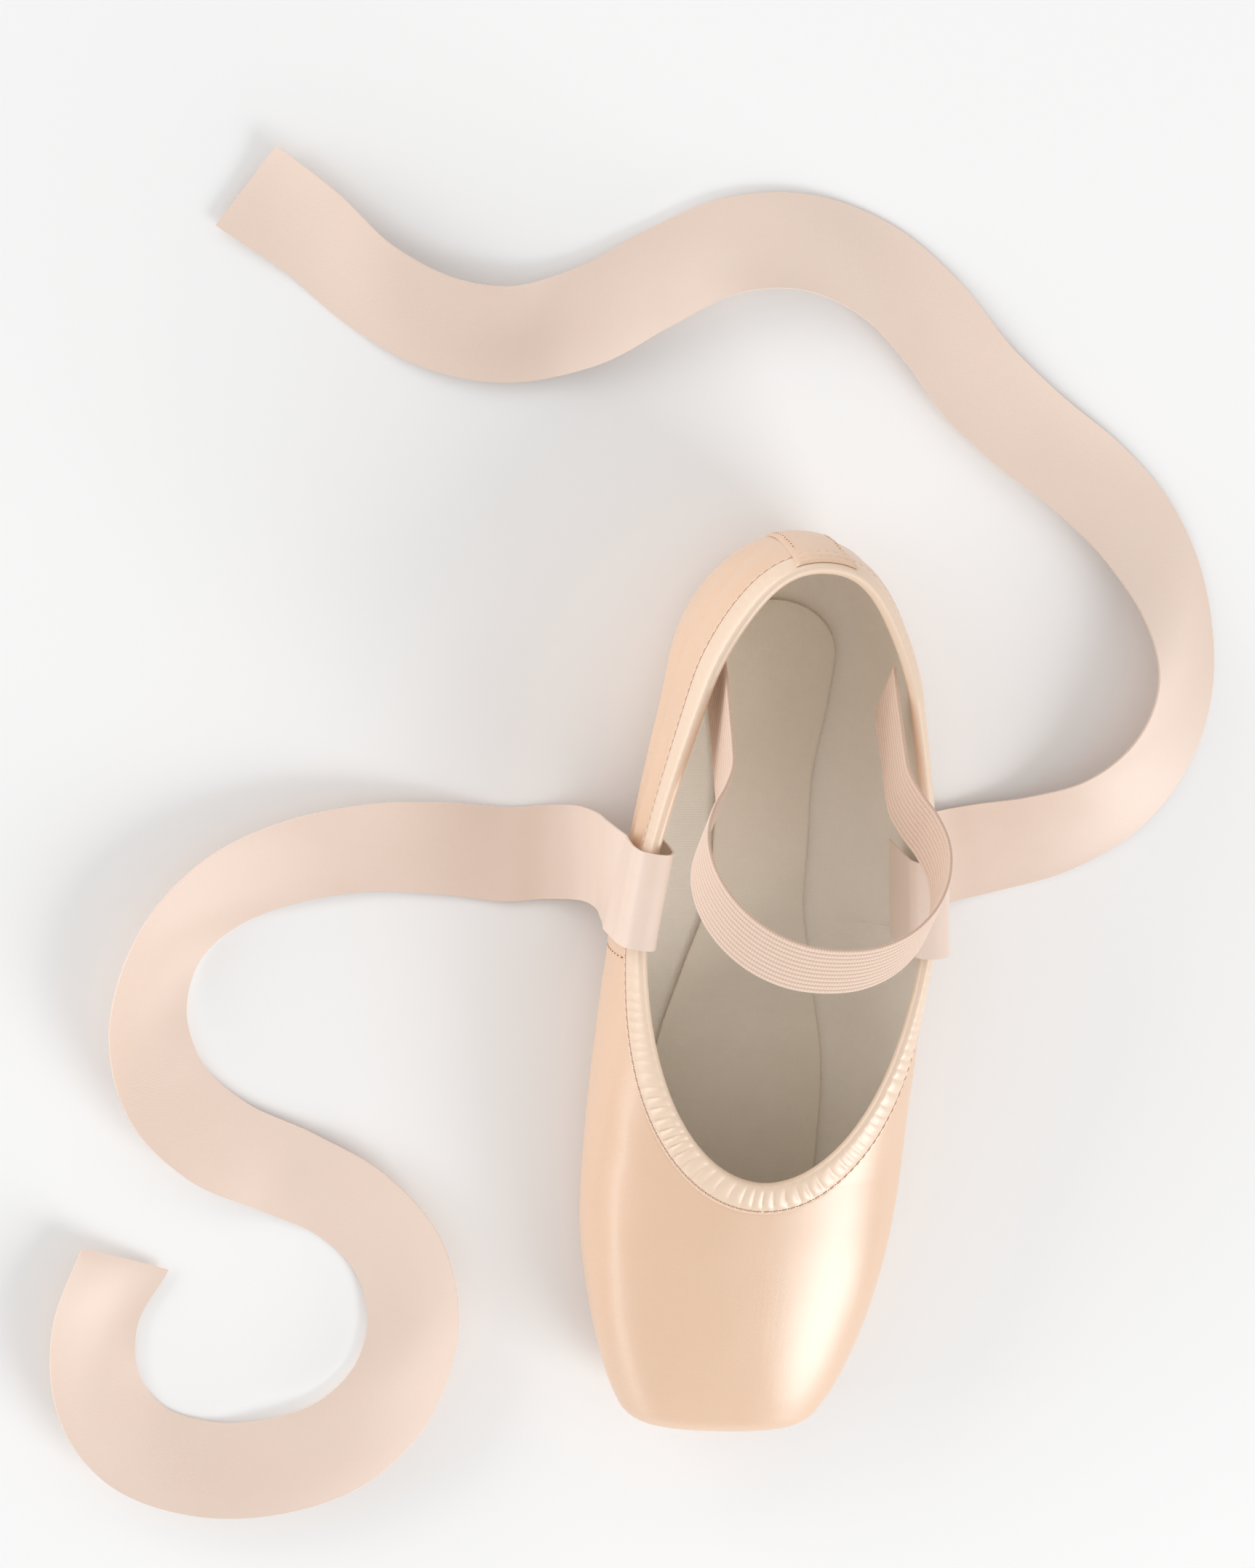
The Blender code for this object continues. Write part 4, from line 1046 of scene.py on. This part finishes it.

# %% [markdown]
# ## Stitches
# A stitch is a small bead of thread between two needle holes. A bump would look flat close up, so stitches
# are real. Hundreds are needed, so each has only a few dozen faces, and a whole row is one joined mesh made
# from arrays of middles and directions. A dark speck at each end is painted shade for the hole the needle
# left.

# %% Rows of stitches
def beads(middles, along, out, length, radius, flat=1.0):
    """Bead of thread for each middle: radius times the root of 1 minus t to the fourth, flattened."""
    t = np.linspace(-1, 1, 6)[:, None]
    angle = np.linspace(0, 2 * math.pi, 7)
    thick = radius * np.sqrt(1 - t**4)
    beside = unit(np.cross(along, out))[:, None, None]
    along, out, middles = along[:, None, None], out[:, None, None], middles[:, None, None]
    length = np.broadcast_to(length, (len(middles),))[:, None, None]
    spine = middles + along * (t * length / 2)[..., None]
    ring = beside * (thick * np.cos(angle))[..., None] + out * (flat * thick * np.sin(angle))[..., None]
    return spine + ring, paired(t * length / 2, angle * radius)


def stitch_row(line, out, pitch, share, phase=0.5, slip=0.0):
    """Middles, directions and normals of stitches spaced evenly along a line; slip turns every one."""
    run = distances(line)
    at = (np.arange(int(run[-1] / pitch)) + phase) * pitch
    half = pitch * share / 2

    def read(values, place):
        return np.stack([np.interp(place, run, column) for column in values.T], axis=1)
    start, end, normal = read(line, at - half), read(line, at + half), unit(read(out, at))
    along = unit(end - start)
    turned = unit(along + slip * np.cross(normal, along))
    return (start + end) / 2, turned, normal


def both(line, out):
    """A line on the right side and its mirror image on the left."""
    return ((line, out), (line * (-1, 1, 1), out * (-1, 1, 1)))


# painted shade: a dark bead stands for the shade inside each needle hole
NEEDLE_HOLE_SHADE = new_finish("hole_shade", Base_Color=(0.24, 0.12, 0.075, 1), Roughness=0.9)[0]


def sew(name, slot, thread, lines, pitch, share, bead, hole, slip=0.0, sink=0.0, plain=()):
    """Rows of beads along the lines with painted shade for each needle hole, after plain rows without."""
    threads, holes = list(plain), []
    for line, out in lines:
        threads.append(beads(*stitch_row(line, out, pitch, share, slip=slip), *bead))
        middles, along, up = stitch_row(line, out, pitch, share, phase=1.0)
        # the hole beads are painted shade, sunk a little into the cloth
        holes.append(beads(middles - up * sink, along, up, *hole, 0.5))
    seat(surface(name + "_stitches", threads, [thread]), slot)
    seat(surface(name + "_hole_shades", holes, [NEEDLE_HOLE_SHADE]), slot)


def binding_stitches():
    """Pinkish row near the tape's lower edge, on both sides of the shoe."""
    w, _ = collar_places(700)
    depth = np.full((len(w), 1), STITCH_DEPTH)
    points, out = collar_points(w, np.full_like(depth, 0.00046), depth)
    sew("binding", "binding_tape", PINK_THREAD, both(points[:, 0], out[:, 0]), pitch=0.0022, share=0.80,
        bead=(0.0017, 0.00023), hole=(0.0006, 0.00021), slip=0.10, sink=0.00008)


binding_stitches()

# %% [markdown]
# ## The side seams
# The vamp lies over the quarter with a folded edge, held by two rows of stitches two and six millimetres
# in front of it. The fold itself is a step in the wall, which keeps the satin in one piece. Here only the
# stitches are added, on both sides, along lines of the wall from the sole up to the binding.

# %% Side seam stitches
BINDING_REACH = 0.0068


def seam_line(back):
    """Line on the wall a given distance in front of the side seam, from the sole to the binding."""
    v = np.linspace(0.155, 0.90, 120)
    w = np.full_like(v, SEAM - back)
    points, out = wall(w, v), wall_normal(w, v)
    run, edge = distances(points), distances(wall(w, np.linspace(0.90, 1, 120)))
    keep = edge[-1] + run[-1] - run > BINDING_REACH + 0.0006
    return points[keep] - out[keep] * 0.00010, out[keep]


def seam_stitches():
    """Two rows of peach thread on each side of the shoe."""
    lines = [line for back in STITCH_ROWS_BACK for line in both(*seam_line(back))]
    sew("side_seam", "satin", PEACH_THREAD, lines, pitch=0.0023, share=0.74,
        bead=(0.0016, 0.00022), hole=(0.0006, 0.00024), slip=0.16)


seam_stitches()

# %% [markdown]
# ## The heel strip
# A tape of satin covers the centre back from the collar's edge down to the sole. Its long edges are
# folded under, so they stand up a little and leave a dark line beside them. At the top it lies over the
# binding as a small tab with its own two rows of stitches. It could be cut out of the upper's mesh, but a
# grid of its own, laid on the wall by the wall's function, has crisp edges and a real thickness.

# %% Heel strip
STRIP_HALF = 0.0070
STRIP_THICKNESS = 0.0006
STRIP_CLEARANCE = 0.00012
OUTSOLE_BACK = 0.203
STRIP_STEPS = (
    # depth where it ends, length and height of each step that the binding makes under the strip
    (0.0060, 0.0026, 0.00045),
    (0.0086, 0.0014, 0.00065),
)
STRIP_UNDERSIDE = 0.0076
TAB_ROWS = (0.0022, 0.0058)


def strip_place(across, v):
    """Places round the heel whose half width is the distance across, found by a few corrections."""
    half, _ = straight_section(np.full_like(v, HEEL_START), v)
    turn = np.arccos(np.clip(np.abs(across) / half, 0, 1))
    for _ in range(8):
        reach = wall(HEEL_START + HEEL_ARC * turn / (math.pi / 2), v)[..., 0]
        turn = np.clip(turn + (reach - np.abs(across)) / half, 0, math.pi / 2)
    return HEEL_START + HEEL_ARC * turn / (math.pi / 2)


def on_strip(across, v):
    """Point of the wall at a distance across from the centre back and at row v, and its normal."""
    w = strip_place(across, v)
    side = np.where(across < 0, -1.0, 1.0)[..., None] * np.array([1, 0, 0]) + np.array([0, 1, 1])
    spot = wall(w, v) * side
    out = wall_normal(np.minimum(w, HEEL_END - 2e-4), v) * side
    level = np.abs(across)[..., None] < 1e-7
    spot = np.where(level, spot * (0, 1, 1), spot)
    return spot, unit(np.where(level, out * (0, 1, 1), out))


def strip_rows(count):
    """Rows down the centre back at equal distances, and how far each is below the collar."""
    fine = np.concatenate([np.linspace(1, SIDE_ROW, 300), np.linspace(SIDE_ROW, FLAT_ROW, 200)[1:]])
    share = (OUTSOLE_BACK + 4 * GAP - HEEL_START - HEEL_HOLE_BACK) / (HEEL_FLAT_BACK - HEEL_HOLE_BACK)
    fine = np.concatenate([fine, np.linspace(FLAT_ROW, FLAT_ROW * share, 40)[1:]])
    run = distances(wall(HEEL_END, fine))
    even = np.linspace(0, run[-1], count)
    return np.interp(even, run, fine), even


def strip_lift(depth):
    """Height over the wall: a hair, and the two steps of the binding as far down as each of them goes."""
    steps = sum(height * smooth((end - depth) / length) for end, length, height in STRIP_STEPS)
    return STRIP_CLEARANCE + steps


def heel_strip():
    """Tape with 25 columns and folded edges; thickness = full in the middle, rounded off at the edges."""
    v, depth = strip_rows(150)
    across = np.linspace(-1, 1, 25) * STRIP_HALF
    grid_v, grid_x = np.meshgrid(v, across, indexing="ij")
    spot, out = on_strip(grid_x, grid_v)
    share = np.abs(grid_x) / STRIP_HALF
    body = STRIP_THICKNESS * np.sqrt(1 - share**14)
    trough = 0.00012 * bump_at(share - 0.80, 0.05)
    wave = np.sin(depth[:, None] / 0.0016 + 2 * grid_x / STRIP_HALF)
    ripple = 0.00010 * wave * smooth((depth[:, None] - 0.012) / 0.01)
    lift = strip_lift(depth)[:, None]
    top = spot + out * (lift + body - trough + ripple * (1 - share**4))[..., None]
    pressed = smooth((STRIP_UNDERSIDE - depth[:, None]) / 0.0004)
    low = spot + out * (STRIP_CLEARANCE / 3 + (lift - STRIP_CLEARANCE) * pressed)[..., None]
    top[[0, -1]] = low[[0, -1]]
    return seat(band("heel_tape", top, low, depth, across, SHOE_SATIN), "satin", "heel_strip")


def tab_stitches():
    """Two short rows across the tab and one down each edge of the strip."""
    v, depth = strip_rows(400)

    def on_tape(across, rows):
        spot, out = on_strip(across, np.interp(rows, depth, v))
        return spot + out * (strip_lift(rows) + STRIP_THICKNESS - 0.00004)[:, None], out
    across = np.linspace(-0.86, 0.86, 30) * STRIP_HALF
    rows = [stitch_row(*on_tape(across, np.full_like(across, place)), 0.0021, 0.76) for place in TAB_ROWS]
    down = depth[(depth > 0.010) & (depth < depth[-1] - 0.010)]
    edges = [on_tape(np.full_like(down, side * 0.80 * STRIP_HALF), down) for side in (-1, 1)]
    sew("heel_tape", "satin", PEACH_THREAD, edges, pitch=0.0023, share=0.74,
        bead=(0.0016, 0.00018), hole=(0.0005, 0.0002), plain=[beads(*row, 0.0015, 0.0002) for row in rows])


heel_strip()
tab_stitches()

# %% [markdown]
# ## The outsole
# The sole is one piece of suede, shorter and narrower than the shoe, with a round front and heel. Under
# the forefoot it is scored with short slanted cuts so that it grips. Its edge was cut by hand and wavers
# a little. A boolean could cut the marks, but a fine closed grid whose bottom is lifted there is cleaner.

# %% Outsole
OUTSOLE_FRONT = 0.029
OUTSOLE_SETBACK = 0.0012
OUTSOLE_ROUNDS = (0.016, 0.012)
EDGE_ROUND = 0.0009
SCORE_PITCH = 0.0056
SCORE_DEPTH = 0.00045


def plate_stations(front, back, rounds, spacing):
    """Places along a plate, closer together in its round ends, and the share of its width there."""
    turn = np.radians(np.linspace(0, 90, 60))
    body = np.arange(front + rounds[0], back - rounds[1], spacing)[1:]
    places = np.concatenate([
        front + rounds[0] * (1 - np.cos(turn)), body, (back - rounds[1] * (1 - np.cos(turn)))[::-1],
    ])
    share = np.concatenate([np.sin(turn), np.ones(len(body)), np.sin(turn)[::-1]])
    return places, share


def score_marks(s, x):
    """How deep a point is in a scored cut, 0 to 1: one slanted dash to a cell, turned each other row."""
    row = np.floor(s / SCORE_PITCH)
    column = np.floor(x / SCORE_PITCH + 0.5 * (row % 2))
    along = s - (row + 0.5) * SCORE_PITCH
    across = x - (column + 0.5 - 0.5 * (row % 2)) * SCORE_PITCH
    lean = np.where((row + column) % 2 == 0, 1.0, -1.0) * math.radians(42)
    down = along * np.cos(lean) + across * np.sin(lean)
    beside = -along * np.sin(lean) + across * np.cos(lean)
    dash = smooth((0.0021 - np.abs(down)) / 0.0005) * smooth((0.00042 - np.abs(beside)) / 0.0003)
    return dash * smooth((0.112 - s) / 0.004) * smooth((s - 0.033) / 0.003)


def outsole():
    """Suede plate: bottom with its cuts, edge rounded by a quarter circle, flat hidden top."""
    s, share = plate_stations(OUTSOLE_FRONT, OUTSOLE_BACK, OUTSOLE_ROUNDS, 0.00042)
    half = (section_column("flat", np.minimum(s, HEEL_START)) - OUTSOLE_SETBACK) * share
    half = half + 0.0003 * share * (np.sin(s / 0.0052) + 0.6 * np.sin(s / 0.0023 + 1))
    s, half = s[:, None], half[:, None]
    bottom = np.linspace(-1, 1, 112)
    x = half * np.concatenate([bottom, np.linspace(1, -1, 14), bottom[:1]])
    under = np.concatenate([np.ones(112), np.zeros(14), [1]])
    inwards = half - np.abs(x)
    edge = np.maximum(EDGE_ROUND - inwards, 0)
    round_off = EDGE_ROUND - np.sqrt(np.maximum(EDGE_ROUND**2 - edge**2, 0))
    cut = score_marks(s, x) * under * smooth((inwards - 0.0014) / 0.001)
    relief_up = round_off + SCORE_DEPTH * cut + 0.00012 * np.sin(s / 0.007 + x / 0.006) ** 2
    z = sole_line(s) + np.where(under > 0, relief_up, OUTSOLE_THICKNESS)
    grid = (paired(x, s - MIDDLE, z), paired(s, x))
    # the scored mark is where the suede's finish paints shade into the cuts
    piece = surface("suede_outsole", [grid], [SOLE_SUEDE], {"scored": [np.broadcast_to(cut, x.shape)]})
    return seat(piece, "sole_leather", "outsole")


outsole()

# %% [markdown]
# ## Whip stitches beside the sole
# Between the sole's edge and the satin a few white stitches show beside the forefoot, where the pleats
# are caught. They are short, slanted and well apart, so the beads of the other rows do for them, each with
# a direction of its own.

# %% Whip stitches
WHIP_ROW = (0.046, 0.104, 13)


def whip_stitches():
    """Slanted white beads in the slot beside the forefoot, thirteen on each side."""
    s = np.linspace(*WHIP_ROW)
    x = section_column("flat", s) - OUTSOLE_SETBACK + 0.0004
    z = sole_line(s) + OUTSOLE_THICKNESS - 0.0001
    middles = np.stack([x, s - MIDDLE, z], axis=1)
    along = unit(np.stack([np.full_like(s, 0.7), 0.25 * np.sin(40 * s), np.full_like(s, 0.45)], axis=1))
    out = unit(np.cross(along, (0.0, 1.0, 0.0)))
    right = beads(middles, along, out, 0.0022, 0.00022)
    left = (right[0] * (-1, 1, 1), right[1])
    seat(surface("whip_stitches", [right, left], [WHITE_THREAD]), "sole_leather")


whip_stitches()

# %% [markdown]
# ## The insole
# Inside lies a thin board covered with cloth. The photograph doesn't show it, so it is finished plainly:
# a smooth plate on the same sole line, with rounded edges. An outline with Solidify and Bevel would do, but
# one grid wound round it bends with the sole line at no cost.

# %% Insole
INSOLE_FRONT, INSOLE_BACK, INSOLE_ROUNDS = 0.018, 0.2095, (0.016, 0.014)
INSOLE_SETBACK = 0.0016
INSOLE_THICKNESS = 0.0016


def insole():
    """Closed plate: rows along the shoe, columns over the top and back under it."""
    s, share = plate_stations(INSOLE_FRONT, INSOLE_BACK, INSOLE_ROUNDS, 0.0015)
    half = (section_column("flat", np.minimum(s, HEEL_START)) - INSOLE_SETBACK) * share
    s, half, share = s[:, None], half[:, None], share[:, None]
    turn = np.linspace(0, 2 * math.pi, 73)
    x = half * np.sign(np.cos(turn)) * np.abs(np.cos(turn)) ** 0.5
    bulge = np.sign(np.sin(turn)) * np.abs(np.sin(turn)) ** 0.35 * share**0.3
    z = under_line(s) + WALL + TAPE_GAP + INSOLE_THICKNESS / 2 * (1 + bulge)
    piece = surface("cloth_insole", [(paired(x, s - MIDDLE, z), paired(s, x))], [INSOLE_CLOTH])
    return seat(piece, "insole_cloth", "insole")


insole()

# %% [markdown]
# ## The elastic
# The elastic crosses above the opening and keeps its arch. It leans forward and both ends are sewn inside
# the quarters. Its eleven ribs are real waves across the band, which the light shows better than a bump.
# The arch goes through listed points, and the wall's own width keeps its ends clear of the lining.

# %% Elastic
ELASTIC_WIDTH = 0.020
ELASTIC_THICKNESS = 0.0010
ELASTIC_LEAN = math.radians(45)
ELASTIC_BASE = (0.203, 0.031)
ELASTIC_CLEARANCE = 0.0045
ELASTIC_RIBS = 11
ELASTIC_ARCH = (
    # across and along the leaning plane, in metres, from the top of the arch to a sewn end
    (0.0000, 0.0905), (0.0090, 0.0893), (0.0175, 0.0850), (0.0245, 0.0775), (0.0285, 0.0680),
    (0.0290, 0.0600), (0.0268, 0.0525), (0.0235, 0.0465), (0.0214, 0.0410), (0.0210, 0.0350),
    (0.0209, 0.0270), (0.0208, 0.0190), (0.0208, 0.0110),
)


def spanned(first, second):
    """Area spanned by two flat vectors, with its sign."""
    return first[..., 0] * second[..., 1] - first[..., 1] * second[..., 0]


def inner_reach(points):
    """Half width of the wall straight beside each point: the nearest net point, then Newton steps."""
    w, v = first_guess(points, np.linspace(0.13, HEEL_END, 150), np.linspace(0.2, 1, 60), axes=(1, 2))
    target = points[..., 1:]
    small = 1e-5
    for _ in range(6):
        here = wall(w, v)[..., 1:]
        along = (wall(w + small, v)[..., 1:] - here) / small
        up = (here - wall(w, v - small)[..., 1:]) / small
        gap = target - here
        spread = spanned(along, up)
        spread = np.where(np.abs(spread) < 1e-9, 1e-9, spread)
        w = np.clip(w + spanned(gap, up) / spread, 0.12, HEEL_END - small)
        v = np.clip(v + spanned(along, gap) / spread, 0.15, 1)
    end = wall(w, v)
    missed = np.linalg.norm(end[..., 1:] - target, axis=-1) > 0.0004
    return np.where(missed, 1.0, end[..., 0])


def elastic():
    """Ribbed band: rows along the arch, 89 columns across, front and back joined at the edges."""
    half = np.array(ELASTIC_ARCH)
    line = np.concatenate([(half * (-1, 1))[:0:-1], half])
    path = smooth_line(line, 9)
    base = np.array([0.0, ELASTIC_BASE[0] - MIDDLE, ELASTIC_BASE[1]])
    lean = np.array([0.0, -math.cos(ELASTIC_LEAN), math.sin(ELASTIC_LEAN)])
    broad = np.array([0.0, math.sin(ELASTIC_LEAN), math.cos(ELASTIC_LEAN)])
    middle = base + path[:, 1:] * lean + path[:, :1] * (1, 0, 0)
    share = np.linspace(-0.5, 0.5, ELASTIC_RIBS * 8 + 1)
    sheet = middle[:, None] + broad * share[:, None] * ELASTIC_WIDTH
    coarse = sheet[:, ::22]
    limit = inner_reach(coarse) - ELASTIC_CLEARANCE
    limit = np.stack([np.interp(share, share[::22], row) for row in limit])
    sheet[..., 0] = np.sign(sheet[..., 0]) * np.minimum(np.abs(sheet[..., 0]), limit)
    normal = unit(np.cross(np.gradient(sheet, axis=0), np.gradient(sheet, axis=1)))
    # rib also sets the web finish's painted shade between the ribs
    rib = np.abs(np.sin(math.pi * ELASTIC_RIBS * (share + 0.5))) ** 0.7
    lift = normal * (ELASTIC_THICKNESS / 2 * (0.45 + 0.55 * rib))[:, None]
    lift[[0, -1]] = 0
    run, across = distances(middle), share * ELASTIC_WIDTH
    piece = band("ribbed_elastic", sheet + lift, sheet - lift, run, across, ELASTIC_WEB, rib=rib)
    return seat(piece, "elastic_web", "elastic")


elastic()
